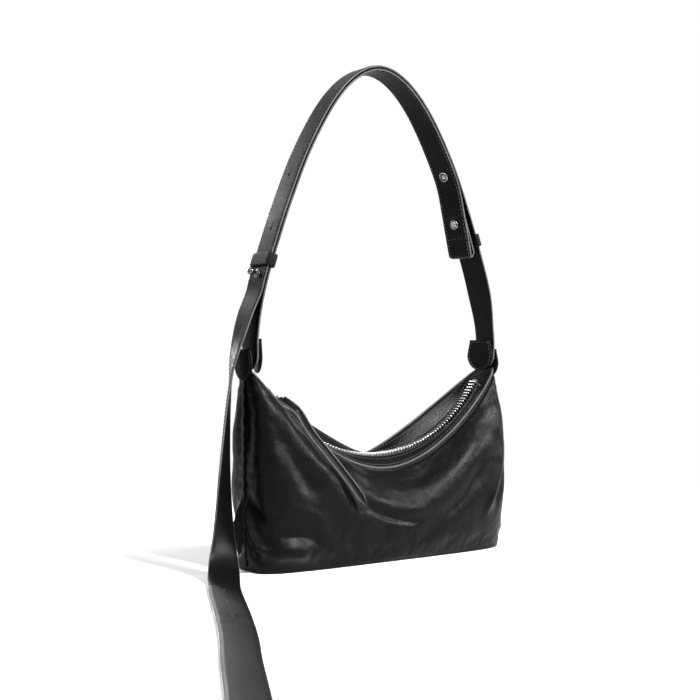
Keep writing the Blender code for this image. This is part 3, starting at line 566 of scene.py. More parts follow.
def line_distance(x, z, points):
    """Distance to a broken line and the share of the line's length at the nearest point."""
    best = np.full(x.shape, np.inf)
    share = np.zeros(x.shape)
    pts = np.array(points, dtype=float) * MM
    lengths = np.linalg.norm(np.diff(pts, axis=0), axis=1)
    starts = np.concatenate([[0], np.cumsum(lengths)])
    for a, b, start, length in zip(pts, pts[1:], starts, lengths):
        t = np.clip(((x - a[0]) * (b[0] - a[0]) + (z - a[1]) * (b[1] - a[1])) / length ** 2, 0, 1)
        gap = np.hypot(x - a[0] - t * (b[0] - a[0]), z - a[1] - t * (b[1] - a[1]))
        nearer = gap < best
        best = np.where(nearer, gap, best)
        share = np.where(nearer, (start + t * length) / starts[-1], share)
    return best, share


def noise_field(points, scale, seed):
    shift = Vector((seed * 7.31, seed * 3.77, seed * 5.13))
    flat = points.reshape(-1, 3)
    values = [noise.noise(Vector(p) * scale + shift) for p in flat]
    return np.array(values).reshape(points.shape[:-1])


def press_lines(x, z, folds):
    """Heights of ridges and valleys that follow lines and fade out towards their ends."""
    moved = np.zeros(x.shape)
    for points, width, height in folds:
        smooth = catmull_rom(points, np.linspace(0, len(points) - 1, 6 * len(points)))
        gap, share = line_distance(x, z, smooth)
        ends = smooth_step(0, 0.25, share) * smooth_step(0, 0.3, 1 - share)
        moved += height * MM * np.exp(-(gap / (width * MM)) ** 2) * (0.25 + 0.75 * ends)
    return moved


def fold_heights(grid, normals, folds, seed):
    """How far each point of a body grid moves out of its surface."""
    x, y, z = grid[:, :, 0], grid[:, :, 1], grid[:, :, 2]
    faces_end = normals[:, :, 0] ** 2
    moved = press_lines(x, z, folds) * (1 - faces_end)
    moved += press_lines(-np.abs(y), z, END_FOLDS) * faces_end * np.where(x < 0, 1.0, 0.3)
    moved += 1.5 * MM * noise_field(grid, 22.0, seed)
    moved += 0.7 * MM * noise_field(grid * np.array([1.0, 1.0, 0.7]), 60.0, seed + 1)
    moved += 0.2 * MM * noise_field(grid, 170.0, seed + 2)
    return moved


PUCKER_PITCH = 0.0105
PUCKER_HEIGHT = 0.45 * MM
PUCKER_REACH = 0.015


def seam_puckers(grid):
    """Small gathers across the end seams, as thread that is pulled tight makes them."""
    x, y, z = grid[:, :, 0], grid[:, :, 1], grid[:, :, 2]
    wave = z * 2 * math.pi / PUCKER_PITCH + 1.9 * np.sin(z * 74 + np.sign(x)) + 0.9 * np.sin(z * 171)
    near_seam = np.exp(-(np.abs(y) / PUCKER_REACH) ** 2) * (np.abs(x) > BAG_HALF_LENGTH * 0.9)
    return PUCKER_HEIGHT * np.sin(wave) * near_seam


# %% Cloth settling
CLOTH_FRAMES = 24
CLOTH_GROWTH = 0.002
CLOTH_GATHER = 0.028
CLOTH_BENDING = 12.0
CLOTH_PRESSURE = 4.0
CLOTH_GRAVITY = 0.01
CLOTH_INWARD = 0.0012
CLOTH_BULGE_CUT = 0.9
CLOTH_CAP = 0.005


def blurred(field, reach):
    """A field of vectors with its short waves smoothed away."""
    for axis in (0, 1):
        padded = np.pad(field, [(reach, reach) if k == axis else (0, 0) for k in range(3)], mode="edge")
        total = np.cumsum(np.insert(padded, 0, 0, axis=axis), axis=axis)
        width = 2 * reach + 1
        count = field.shape[axis]
        later = np.take(total, range(width, width + count), axis=axis)
        field = (later - np.take(total, range(count), axis=axis)) / width
    return field


def panel_mesh(name, which, grid, material):
    """A body grid as an object whose faces look out of the bag."""
    faces = grid_quads(*grid.shape[:2])
    if RIMS[which][0] > 0:
        faces = [face[::-1] for face in faces]
    return mesh_from(name, grid.reshape(-1, 3), faces, material)


def weigh_edges(cloth, rows, columns):
    """Groups of points that are held at the edges, and gathered beside the seams and the rim."""
    held = cloth.vertex_groups.new(name="held")
    gathered = cloth.vertex_groups.new(name="gathered")
    for r in range(rows):
        for c in range(columns):
            end = min(c, columns - 1 - c)
            edge = min(end / 4, (rows - 1 - r) / 3, r / 9)
            held.add([r * columns + c], float(1 - np.clip(edge, 0, 1)), "REPLACE")
            shirred = max(math.exp(-(end / 14) ** 2), 0.7 * math.exp(-((rows - 1 - r) / 6) ** 2))
            gathered.add([r * columns + c], shirred, "REPLACE")


def add_cloth(cloth):
    """Soft leather as the simulation sees it: it shrinks where gathered and is blown out a little."""
    modifier = cloth.modifiers.new("cloth", "CLOTH")
    settings = modifier.settings
    settings.vertex_group_mass = "held"
    settings.vertex_group_shrink = "gathered"
    settings.quality = 6
    settings.mass = 0.3
    settings.effector_weights.gravity = CLOTH_GRAVITY
    settings.tension_stiffness = settings.compression_stiffness = 25
    settings.shear_stiffness = 10
    settings.bending_stiffness = CLOTH_BENDING
    settings.tension_damping = settings.compression_damping = settings.shear_damping = 15
    settings.bending_damping = 2
    settings.air_damping = 3
    settings.shrink_min = -CLOTH_GROWTH
    settings.shrink_max = -CLOTH_GATHER
    settings.use_pressure = True
    settings.uniform_pressure_force = CLOTH_PRESSURE
    modifier.point_cache.frame_start = 1
    modifier.point_cache.frame_end = CLOTH_FRAMES


def settle(grid, normals, which):
    """Runs the soft leather as cloth, filled and held at rim, seams and base, for its wrinkles."""
    rows, columns = grid.shape[:2]
    cloth = panel_mesh("settling", which, grid, None)
    weigh_edges(cloth, rows, columns)
    add_cloth(cloth)
    for step in range(1, CLOTH_FRAMES + 1):
        bpy.context.scene.frame_set(step)
    apply_modifiers(cloth)
    settled = np.empty(rows * columns * 3, dtype=np.float32)
    cloth.data.vertices.foreach_get("co", settled)
    bpy.data.objects.remove(cloth)
    bpy.context.scene.frame_set(1)
    moved = settled.reshape(grid.shape) - grid
    most = np.linalg.norm(moved, axis=2).max()
    moved = moved - CLOTH_BULGE_CUT * blurred(blurred(moved, 7), 7)
    length = np.linalg.norm(moved, axis=2, keepdims=True)
    print(which, "panel settled by", round(float(most) / MM, 1), "mm, its wrinkles are",
          round(float(length.max()) / MM, 1))
    moved = moved * CLOTH_CAP * np.tanh(length / CLOTH_CAP) / np.maximum(length, 1e-9)
    sunk = np.minimum(np.sum(moved * normals, axis=2, keepdims=True) + CLOTH_INWARD, 0)
    return moved - normals * (sunk - CLOTH_INWARD * np.tanh(sunk / CLOTH_INWARD))


# %% Body panels
RIM_TUCK = 0.0013
RIM_TUCK_BELOW = 0.032
RIM_TUCK_SPREAD = 0.012
FOLD_FREE_SHARE = 0.015
PANEL_COLUMNS = 261
PANEL_ROWS = 121
CLOTH_STEP = 2
CLOTH_FIRST_ROW = 28


def refine(field, rows, columns):
    """A coarse field of vectors on the fine grid's points."""
    tall = catmull_rom(field, np.linspace(0, field.shape[0] - 1, rows)).transpose(1, 0, 2)
    return catmull_rom(tall, np.linspace(0, field.shape[1] - 1, columns)).transpose(1, 0, 2)


def panel_surface(which, folds, seed):
    """The outer surface of a panel with its folds, its gathers and the wrinkles of the cloth."""
    grid = body_grid(which, PANEL_COLUMNS, PANEL_ROWS)
    normals = grid_normals(grid, RIMS[which][0])
    column = np.linspace(0, 1, PANEL_COLUMNS)[None, :]
    row = np.linspace(0, 1, PANEL_ROWS)[:, None]
    standing = smooth_step(0.24, 0.38, row) * smooth_step(0.0, 0.06, 1 - row)
    free = smooth_step(0.0, FOLD_FREE_SHARE, column) * smooth_step(0.0, FOLD_FREE_SHARE, 1 - column)
    moved = fold_heights(grid, normals, folds, seed) * free + seam_puckers(grid)
    tucked = RIM_TUCK * np.exp(-((1 - row - RIM_TUCK_BELOW) / RIM_TUCK_SPREAD) ** 2)
    grid = grid + normals * (moved * standing - tucked)[:, :, None]
    coarse = grid[CLOTH_FIRST_ROW::CLOTH_STEP, ::CLOTH_STEP]
    coarse_normals = normals[CLOTH_FIRST_ROW::CLOTH_STEP, ::CLOTH_STEP]
    wrinkles = settle(coarse, coarse_normals, which)
    grid[CLOTH_FIRST_ROW:] += refine(wrinkles, PANEL_ROWS - CLOTH_FIRST_ROW, PANEL_COLUMNS)
    grid[:, :, 2] = np.maximum(grid[:, :, 2], 0)
    return grid


def add_panel(which, folds, seed):
    """One half of the body with its thickness, and the outer surface that its seams follow."""
    grid = panel_surface(which, folds, seed)
    panel = panel_mesh(which + "_body", which, grid, body_leather)
    wall = panel.modifiers.new("leather_thickness", "SOLIDIFY")
    wall.thickness = PANEL_THICKNESS
    wall.offset = -1.0
    panel = apply_modifiers(panel)
    for vertex in panel.data.vertices:
        vertex.co.z = max(vertex.co.z, 0.0)
    return panel, grid


front_body, front_surface = add_panel("front", FRONT_FOLDS, 3)
back_body, back_surface = add_panel("back", BACK_FOLDS, 11)
finish(front_body, "bag", "body_leather", "front_panel")
finish(back_body, "bag", "body_leather", "back_panel")
print("panels", len(front_body.data.polygons), len(back_body.data.polygons))


# %% Welts
WELT_RADIUS = 0.0012
WELT_LIFT = 0.0002
WELT_FOOT = 0.004


def tube(name, line, radius, material, sides=8):
    """A round cord of leather along a line, its ends shut."""
    line = np.asarray(line)
    tangents = unit(np.gradient(line, axis=0))
    guide = np.tile([0.0, 1.0, 0.0], (len(line), 1))
    first = unit(np.cross(tangents, guide))
    second = np.cross(tangents, first)
    points = [place + (a * math.cos(t) + b * math.sin(t)) * radius
              for place, a, b in zip(line, first, second)
              for t in np.linspace(0, 2 * math.pi, sides, endpoint=False)]
    return solid_from(name, points, tube_faces(len(line), sides, flip_ends=True), material)


def add_end_welt(name, column):
    """The piped seam between the panels at one end, which follows their puckers."""
    line = (front_surface[:, column] + back_surface[:, column]) / 2
    line = np.array([p for p in line if p[2] > WELT_FOOT])
    line[:, 0] += np.sign(line[:, 0]) * WELT_LIFT
    return finish(tube(name, line, WELT_RADIUS, body_leather), "bag", "body_leather")


add_end_welt("left_end_welt", 0)
add_end_welt("right_end_welt", -1)

# %% [markdown]
# ## Linings, pocket and board
# Inside, a woven lining repeats the body's shape a few millimetres in, and a slip pocket hangs
# on its back half. They are hidden while the zip is shut, but the mesh is there to be opened.

# %% Linings
LINING_OFFSET = 0.0040
LINING_THICKNESS = 0.0006
LINING_TOP_ROW = 9.0
LINING_COLUMNS = 121
LINING_ROWS = 61


def add_lining(which):
    """A woven lining inside one half of the body: two grids, one sheet."""
    points = np.concatenate([
        body_grid(which, LINING_COLUMNS, LINING_ROWS, inset, LINING_TOP_ROW).reshape(-1, 3)
        for inset in (LINING_OFFSET, LINING_OFFSET + LINING_THICKNESS)])
    lining = solid_from(which + "_cloth_lining", points, sheet_faces(LINING_ROWS, LINING_COLUMNS),
                        lining_cloth)
    return finish(lining, "bag", "lining_fabric", which + "_lining")


linings = [add_lining(which) for which in ("front", "back")]


# %% Slip pocket
POCKET_BELLY = 0.0012
POCKET_COLUMNS = 41
POCKET_ROWS = 21


def add_slip_pocket():
    """The pocket's cloth bellies out a little between its side seams, with a turned hem."""
    low, high = (Vector(v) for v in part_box("inner_pocket"))
    front, back = [], []
    lean = high.y - low.y - LINING_THICKNESS
    for v in np.linspace(0, 1, POCKET_ROWS):
        for u in np.linspace(-1, 1, POCKET_COLUMNS):
            x = u * (high.x - low.x) / 2
            z = low.z + v * (high.z - low.z)
            y = low.y + lean * v
            belly = POCKET_BELLY * (1 - u * u) * math.sin(math.pi * min(v + 0.15, 1.0))
            front.append((x, y - belly, z))
            back.append((x, y - belly + LINING_THICKNESS, z))
    pocket = solid_from("slip_pocket", front + back, sheet_faces(POCKET_ROWS, POCKET_COLUMNS),
                        lining_cloth)
    return finish(pocket, "bag", "lining_fabric", "inner_pocket")


slip_pocket = add_slip_pocket()
print("faces of linings and pocket", [len(p.data.polygons) for p in (*linings, slip_pocket)])

# %% [markdown]
# ## The zip
# Leather facings run from the rims down to the woven tapes, and between the tapes sit two rows
# of metal teeth on an arc. A row of teeth repeats one shape along a path, which is what
# Geometry Nodes are made for: we model one tooth and let a tree place it along each curve.

# %% Zip path
ZIP_HALF_LENGTH = 0.1174
FACING_HALF_LENGTH = 0.1161
ZIP_RADIUS = 0.140
ZIP_CENTRE_HEIGHT = 0.230
ZIP_HALF_ANGLE = math.degrees(math.asin(ZIP_HALF_LENGTH / ZIP_RADIUS))
FACING_HALF_ANGLE = math.degrees(math.asin(FACING_HALF_LENGTH / ZIP_RADIUS))
FACING_INNER = 0.0072
TAPE_INNER = 0.0038
FACING_THICKNESS = 0.0013
TAPE_THICKNESS = 0.0006
RUNNING_GAP = 0.0004
FACING_LIFT = 0.00015
FACING_SWELL = 0.0004
TAPE_DROP = 0.0003
FACING_STATIONS = 161
ROLL_SINK = 0.0008
ROLL_LIFT = 0.0006
RIM_ROLL_REACH = 0.1332
RIM_ROLL_RADIUS = 0.0009
SIDE_ROLL_RADIUS = 0.0007


def arc_point(angle, radius, y):
    return np.array([radius * math.sin(angle), y, ZIP_CENTRE_HEIGHT - radius * math.cos(angle)])


def facing_section(angle, which, start, share):
    """A point on the line from the zip out to the rim, and the line's upward normal."""
    side, saddle, power = RIMS[which]
    x = ZIP_RADIUS * math.sin(angle)
    inner = arc_point(angle, ZIP_RADIUS, side * FACING_INNER)
    if share < 0:
        flat = arc_point(angle, ZIP_RADIUS, side * start)
        return inner + (flat - inner) * -share, np.array([-math.sin(angle), 0, math.cos(angle)])
    depth = rim_depth(x) - PANEL_THICKNESS - RUNNING_GAP
    rim = np.array([x, side * depth, rim_height(x, saddle, power)])
    slope = rim - inner
    normal = np.cross(slope, np.array([math.cos(angle), 0, math.sin(angle)])) * -side
    return inner + slope * share, normal / np.linalg.norm(normal)


def facing_strip(name, which, half_angle, start, shares, low, high, material, swell=0.0):
    """A strip with a rounded section that follows the zip, low and high above its line."""
    rows = []
    for angle in np.radians(np.linspace(-half_angle, half_angle, FACING_STATIONS)):
        ring_low, ring_high = [], []
        for i, share in enumerate(shares):
            point, up = facing_section(angle, which, start, share)
            place = i / (len(shares) - 1)
            crown = swell * math.sin(math.pi * place) ** 2
            edge = 0.35 * (high - low) * (1 if i in (0, len(shares) - 1) else 0)
            ring_low.append(point + up * (low + edge))
            ring_high.append(point + up * (high - edge + crown))
        rows.append(ring_high + ring_low[::-1])
    points = np.array(rows).reshape(-1, 3)
    return solid_from(name, points, tube_faces(FACING_STATIONS, 2 * len(shares)), material)


FACING_SHARES = (0.0, 0.03, 0.12, 0.3, 0.5, 0.7, 0.88, 0.96, 1.0)
TAPE_SHARES = (-1.0, -0.9, -0.6, -0.3, 0.0, 0.2, 0.35)
for which in ("front", "back"):
    facing = facing_strip(which + "_leather_facing", which, FACING_HALF_ANGLE, TAPE_INNER, FACING_SHARES,
                          FACING_LIFT, FACING_LIFT + FACING_THICKNESS, body_leather, FACING_SWELL)
    finish(facing, "bag", "body_leather", which + "_facing")
    tape = facing_strip(which + "_woven_tape", which, ZIP_HALF_ANGLE, TAPE_INNER, TAPE_SHARES,
                        -TAPE_DROP - TAPE_THICKNESS, -TAPE_DROP, tape_cloth)
    finish(tape, "bag", "zip_tape", which + "_zip_tape")


def add_zip_side_roll(which):
    """The turned edge of a facing beside the teeth, in the pale edge colour as a painted highlight along
    it.
    """
    line = []
    for angle in np.radians(np.linspace(-FACING_HALF_ANGLE, FACING_HALF_ANGLE, FACING_STATIONS)):
        point, up = facing_section(angle, which, TAPE_INNER, 0.02)
        line.append(point + up * SIDE_ROLL_RADIUS)
    roll = tube(which + "_zip_side_roll", line, SIDE_ROLL_RADIUS, edge_paint_and_highlight)
    return finish(roll, "bag", "body_leather")


def add_rim_roll(which):
    """The rolled rim of a panel, from one end of the bag to the other, in the pale edge colour as a
    painted highlight along the rim.
    """
    side, saddle, power = RIMS[which]
    x = np.sin(np.linspace(-1, 1, 181) * math.asin(RIM_ROLL_REACH / BAG_HALF_LENGTH)) * BAG_HALF_LENGTH
    line = np.stack([x, side * (rim_depth(x) - ROLL_SINK), rim_height(x, saddle, power) + ROLL_LIFT],
                    axis=1)
    return finish(tube(which + "_rim_roll", line, RIM_ROLL_RADIUS, edge_paint_and_highlight), "bag", "body_leather")


for which in ("front", "back"):
    add_rim_roll(which)
    add_zip_side_roll(which)
print("facings and tapes made")


# %% Geometry Nodes: one shape along a curve
TREE_INPUTS = {"Geometry": "Geometry", "Shape": "Object", "Spacing": "Float", "Jitter": "Float",
               "Seed": "Int", "Material": "Material"}
TREE_NODES = {
    "source": "NodeGroupInput", "sink": "NodeGroupOutput", "resample": "GeometryNodeResampleCurve",
    "shape": "GeometryNodeObjectInfo", "tangent": "GeometryNodeInputTangent",
    "aim": "FunctionNodeAlignEulerToVector", "least": "ShaderNodeMath",
    "size": "FunctionNodeRandomValue", "place": "GeometryNodeInstanceOnPoints",
    "real": "GeometryNodeRealizeInstances", "paint": "GeometryNodeSetMaterial",
}
TREE_LINKS = (
    ("source", "Geometry", "resample", "Curve"), ("source", "Spacing", "resample", "Length"),
    ("source", "Shape", "shape", "Object"), ("tangent", 0, "aim", "Vector"),
    ("source", "Jitter", "least", 1), ("least", 0, "size", 2), ("source", "Seed", "size", "Seed"),
    ("resample", "Curve", "place", "Points"), ("shape", "Geometry", "place", "Instance"),
    ("aim", "Rotation", "place", "Rotation"), ("size", 1, "place", "Scale"),
    ("place", "Instances", "real", "Geometry"), ("real", "Geometry", "paint", "Geometry"),
    ("source", "Material", "paint", "Material"), ("paint", "Geometry", "sink", "Geometry"),
)


def along_curve_tree(name):
    """Places copies of one object at even distances along a curve, turned to follow it."""
    tree = bpy.data.node_groups.new(name, "GeometryNodeTree")
    for title, kind in TREE_INPUTS.items():
        tree.interface.new_socket(name=title, in_out="INPUT", socket_type="NodeSocket" + kind)
    tree.interface.new_socket(name="Geometry", in_out="OUTPUT", socket_type="NodeSocketGeometry")
    node = {title: tree.nodes.new(kind) for title, kind in TREE_NODES.items()}
    node["resample"].mode = "LENGTH"
    node["aim"].axis = "X"
    node["size"].data_type = "FLOAT"
    node["least"].operation = "SUBTRACT"
    node["least"].inputs[0].default_value = node["size"].inputs[3].default_value = 1.0
    for giver, output, taker, socket in TREE_LINKS:
        tree.links.new(node[giver].outputs[output], node[taker].inputs[socket])
    return tree


along_curve = along_curve_tree("shape_along_curve")


def polyline(name, lines):
    """A curve object with one straight poly spline for each line of points."""
    data = bpy.data.curves.new(name, "CURVE")
    data.dimensions = "3D"
    for points in lines:
        spline = data.splines.new("POLY")
        spline.points.add(len(points) - 1)
        for target, point in zip(spline.points, points):
            target.co = (*point, 1.0)
    curve = bpy.data.objects.new(name, data)
    bpy.context.scene.collection.objects.link(curve)
    return curve


def place_along(name, lines, shape, spacing, jitter, seed, material):
    """Runs the tree on a curve and keeps the result as a plain mesh piece."""
    curve = polyline(name + "_path", lines)
    modifier = curve.modifiers.new("shapes", "NODES")
    modifier.node_group = along_curve
    values = {"Shape": shape, "Spacing": spacing, "Jitter": jitter, "Seed": seed,
              "Material": material}
    for item in along_curve.interface.items_tree:
        if item.in_out == "INPUT" and item.name in values:
            modifier[item.identifier] = values[item.name]
    graph = bpy.context.evaluated_depsgraph_get()
    graph.update()
    made = bpy.data.meshes.new_from_object(curve.evaluated_get(graph))
    bpy.data.objects.remove(curve)
    piece = bpy.data.objects.new(name, made)
    bpy.context.scene.collection.objects.link(piece)
    if not made.materials:
        made.materials.append(material)
    made.shade_smooth()
    return piece


print("tree", along_curve.name)

# %% [markdown]
# ### Teeth
# A metal tooth is a small rounded block that clasps the tape's edge and meets the tooth of the
# other row over the middle. The dark steps between the teeth are as plain as the teeth.

# %% Teeth
TOOTH_PITCH = 0.0033
TOOTH_LENGTH = 0.0013
TOOTH_HEIGHT = 0.0040
TOOTH_LINE_RADIUS = ZIP_RADIUS - 0.0011
TOOTH_BACK = 0.0036
TOOTH_TIP = 0.0007
TOOTH_BEVEL = 0.00035


def link_bmesh(name, bm, material):
    """An object from a BMesh, which is freed."""
    mesh = bpy.data.meshes.new(name)
    bm.to_mesh(mesh)
    bm.free()
    return link(name, mesh, material)


def rounded_block(name, size, centre, bevel, segments, material):
    """A box with rounded edges, its place in its mesh."""
    bm = bmesh.new()
    bmesh.ops.create_cube(bm, size=1.0)
    bmesh.ops.scale(bm, vec=size, verts=bm.verts)
    bmesh.ops.translate(bm, vec=centre, verts=bm.verts)
    bmesh.ops.bevel(bm, geom=list(bm.edges), offset=bevel, segments=segments, affect="EDGES",
                    profile=0.5)
    return link_bmesh(name, bm, material)


def zip_arc(y):
    reach = math.radians(ZIP_HALF_ANGLE)
    return [arc_point(a, TOOTH_LINE_RADIUS, y) for a in np.linspace(-reach, reach, 361)]


for which, side in (("front", -1), ("back", 1)):
    middle = side * (TOOTH_BACK - TOOTH_TIP) / 2
    tooth = rounded_block("tooth", (TOOTH_LENGTH, TOOTH_BACK + TOOTH_TIP, TOOTH_HEIGHT),
                          (0, middle, 0), TOOTH_BEVEL, 2, teeth_metal)
    row = place_along(which + "_teeth", [zip_arc(0.0)], tooth, TOOTH_PITCH, 0.0, 1, teeth_metal)
    bpy.data.objects.remove(tooth)
    finish(row, "bag", "zip_teeth_metal", which + "_zip_teeth")
    print(row.name, len(row.data.polygons))

# %% [markdown]
# ## Straps
# The strap is two plies of leather with edges painted a paler grey, edge paint and painted highlight
# in one colour. We sweep a section with rounded edges along the ply's middle line and keep its
# distance along and across in a UV map. The slots for the stud are cut with Booleans, so they are real
# holes.

# %% Strap path
STRAP_FOOT = 0.1813
STRAP_RISE = 0.2567
STRAP_HALF_SPAN = 0.1325
STRAP_HALF_WIDTH = 0.013
STRAP_THICKNESS = 0.0024
PLY_GAP = 0.0005
PLY_STEP = STRAP_THICKNESS + PLY_GAP
LAYER_GAP = 0.0003
STRAP_SHARES = (
    (0.0, 1.0), (0.2, 0.965), (0.4, 0.862), (0.6, 0.689), (0.75, 0.510), (0.85, 0.371),
    (0.925, 0.255), (0.975, 0.151), (1.0, 0.053), (1.0, 0.0),
)
RIGHT_TURN = math.radians(15.0)
TURN_START_RISE = 0.020
TURN_FULL_RISE = 0.062
TURN_START_SHARE = 0.8


def up_strap(share):
    return STRAP_FOOT + STRAP_RISE * share


TAIL_TOP = up_strap(0.2408)
STUD_HEIGHT = up_strap(0.2649)
LEFT_KEEPER_HEIGHT = up_strap(0.3111)
RIGHT_KEEPER_HEIGHT = up_strap(0.4136)
FOLD_START = up_strap(0.5961)
FOLD_BOTTOM = up_strap(0.3709)
SLOT_HEIGHTS = (up_strap(0.4252), up_strap(0.6078))
FOLD_TURN_RADIUS = 0.0028
FOLD_RETURN = 0.036
FOLD_DEPTH = 0.0107


def strap_path(count=401):
    right = [(x * STRAP_HALF_SPAN, 0, STRAP_FOOT + z * STRAP_RISE) for x, z in STRAP_SHARES]
    left = [(-x, y, z) for x, y, z in right[:0:-1]]
    return even_curve(left + right, count)[0]


def width_directions(turn, tangents):
    """Directions across a strap that is turned about the vertical, square to its line."""
    across = np.stack([-np.sin(turn), np.cos(turn), np.zeros(len(turn))], axis=1)
    return unit(across - tangents * np.sum(across * tangents, axis=1, keepdims=True))


def strap_frames(points):
    """Directions along, across and out of the strap, whose right leg turns to the front."""
    points = np.asarray(points)
    tangents = unit(np.gradient(points, axis=0))
    rise = points[:, 2] - STRAP_FOOT
    turn = RIGHT_TURN * smooth_step(TURN_START_RISE, TURN_FULL_RISE, rise)
    turn = turn * smooth_step(0, TURN_START_SHARE, points[:, 0] / STRAP_HALF_SPAN)
    across = width_directions(turn, tangents)
    return tangents, across, np.cross(tangents, across)


STRAP_OUTER = strap_path()


def strap_place(height, side, depth):
    """Point at a height on one leg, depth below the outer face, and the up and out directions."""
    tangents, _, normals = strap_frames(STRAP_OUTER)
    half = len(STRAP_OUTER) // 2
    legs = range(half, len(STRAP_OUTER)) if side > 0 else range(half, -1, -1)
    order = sorted(legs, key=lambda i: STRAP_OUTER[i, 2])
    rises = STRAP_OUTER[order, 2]
    rows = (*STRAP_OUTER[order].T, *normals[order].T, *tangents[order].T)
    place, out, ahead = np.array([np.interp(height, rises, row) for row in rows]).reshape(3, 3)
    return place - out * depth, unit(ahead * -side), unit(out)


def foot_half_width(height):
    below = max(STRAP_FOOT - height, 0)
    return math.sqrt(max(STRAP_HALF_WIDTH ** 2 - below ** 2, 0))


# %% Sweep of a strap
EDGE_STEPS = 5
EDGE_INSET = 0.0024
EDGE_PRESS = 0.64
SEAM_PRESS = 0.80


def strap_section(half_width, thickness):
    """Section of a sewn strap: full in its middle, pressed at its seams, with rounded edges."""
    flat = half_width - thickness * 0.30
    edge = thickness * EDGE_PRESS / 2
    turns = np.linspace(-math.pi / 2, math.pi / 2, 2 * EDGE_STEPS + 1)
    right = [(flat + thickness * 0.30 * math.cos(t), edge * math.sin(t)) for t in turns]
    seam = max(half_width - EDGE_INSET, flat * 0.6) / flat
    inner = [(flat * s, thickness / 2 * h) for s, h in (
        ((1 + seam) / 2, EDGE_PRESS * 1.06), (seam, SEAM_PRESS), (seam * 0.86, 0.97), (0.0, 1.0),
        (-seam * 0.86, 0.97), (-seam, SEAM_PRESS), (-(1 + seam) / 2, EDGE_PRESS * 1.06))]
    left = [(-u, -v) for u, v in right]
    under = [(-u, -v) for u, v in inner]
    return right + inner + left + under


def sweep(name, centres, across, out, half_widths, thickness, material, edge_paint_and_highlight_material):
    """A strap along a line; its ends are shut, and they and its edges get the pale edge colour, which is
    edge paint and a painted highlight.
    """
    run = distances(centres)
    points, uvs = [], []
    for place, side, up, half, distance in zip(centres, across, out, half_widths, run):
        for u, v in strap_section(max(half, thickness * 0.4), thickness):
            points.append(place + side * u + up * v)
            uvs.append((distance, u))
    columns = len(points) // len(centres)
    strap = solid_from(name, points, tube_faces(len(centres), columns), material, uvs)
    # Edges and ends take the pale edge colour: edge paint and a painted highlight.
    strap.data.materials.append(edge_paint_and_highlight_material)
    paint_and_highlight_faces = {*range(2 * EDGE_STEPS), *range(2 * EDGE_STEPS + 8, 4 * EDGE_STEPS + 8)}
    for index, face in enumerate(strap.data.polygons):
        if index >= (len(centres) - 1) * columns or index % columns in paint_and_highlight_faces:
            face.material_index = 1
    return strap


SLOT_LENGTH = 0.0075
SLOT_WIDTH = 0.0011
SLOT_LIFT = 0.0008
SLOT_BEVEL = 0.0005
HOLE_RADIUS = 0.0016
HOLE_DROP = 0.0042
CUTTER_DEPTH = 0.02
SHARP_ANGLE = math.radians(35)


def axes_matrix(place, across, out, up):
    """The transform that sets a shape's X, Y and Z along three directions at a place."""
    axes = Matrix((tuple(across), tuple(out), tuple(up))).transposed().to_4x4()
    return Matrix.Translation(Vector(place)) @ axes


def cut(piece, cutter, use_self=False):
    """Takes the shape of the cutter out of the piece, and the cutter out of the scene."""
    recalculate_normals(cutter)
    hole = piece.modifiers.new("slot", "BOOLEAN")
    hole.solver = "EXACT"
    hole.use_self = use_self
    hole.object = cutter
    apply_modifiers(piece)
    bpy.data.objects.remove(cutter)


def cut_slots(strap, places):
    """Cuts keyholes for the stud: a round hole with a slit above it, at each place."""
    for centre, up, out in places:
        cutter = rounded_block("slot_cutter", (SLOT_WIDTH, CUTTER_DEPTH, SLOT_LENGTH),
                               (0, 0, SLOT_LIFT), SLOT_BEVEL, 2, edge_paint_and_highlight)
        bm = bmesh.new()
        bm.from_mesh(cutter.data)
        round_place = (Matrix.Translation((0, 0, HOLE_RADIUS - HOLE_DROP))
                       @ Matrix.Rotation(math.pi / 2, 4, "X"))
        bmesh.ops.create_cone(bm, cap_ends=True, segments=20, radius1=HOLE_RADIUS,
                              radius2=HOLE_RADIUS, depth=CUTTER_DEPTH, matrix=round_place)
        bm.to_mesh(cutter.data)
        bm.free()
        cutter.data.transform(axes_matrix(centre, np.cross(out, up), out, up))
        cut(strap, cutter, use_self=True)
    strap.data.shade_smooth()
    strap.data.set_sharp_from_angle(angle=SHARP_ANGLE)
    evened = strap.modifiers.new("even_shading", "WEIGHTED_NORMAL")
    evened.keep_sharp = True
    return apply_modifiers(strap)


# %% Outer ply
FOOT_REACH = STRAP_HALF_WIDTH * 0.965
FOOT_SHARES = (0.35, 0.65, 0.85, 1.0)
PLY_STATIONS = 201


def outer_ply_line():
    """The outer ply's middle line, from the tail's top over the arch to the right foot."""
    centre = STRAP_OUTER - strap_frames(STRAP_OUTER)[2] * STRAP_THICKNESS / 2
    half = len(STRAP_OUTER) // 2
    keep = [p for i, p in enumerate(centre) if i > half or p[2] > TAIL_TOP]
    foot = [keep[-1] - np.array([0, 0, FOOT_REACH * s]) for s in FOOT_SHARES]
    line = even_curve(keep[::4] + [keep[-1]], PLY_STATIONS)[0]
    return np.array(list(line) + foot)


outer_line = outer_ply_line()
outer_halves = [foot_half_width(p[2]) if p[0] > 0 else STRAP_HALF_WIDTH for p in outer_line]
outer_across, outer_out = strap_frames(outer_line)[1:]
outer_strap = sweep("outer_leather_strap", outer_line, outer_across, outer_out,
                    outer_halves, STRAP_THICKNESS, strap_leather, edge_paint_and_highlight)
cut_slots(outer_strap, [strap_place(height, -1, STRAP_THICKNESS / 2) for height in SLOT_HEIGHTS])
finish(outer_strap, "strap", "strap_leather", "outer_strap")


# %% Inner ply
TURN_NARROWING = 0.0022
TURN_SPREAD = 7.0


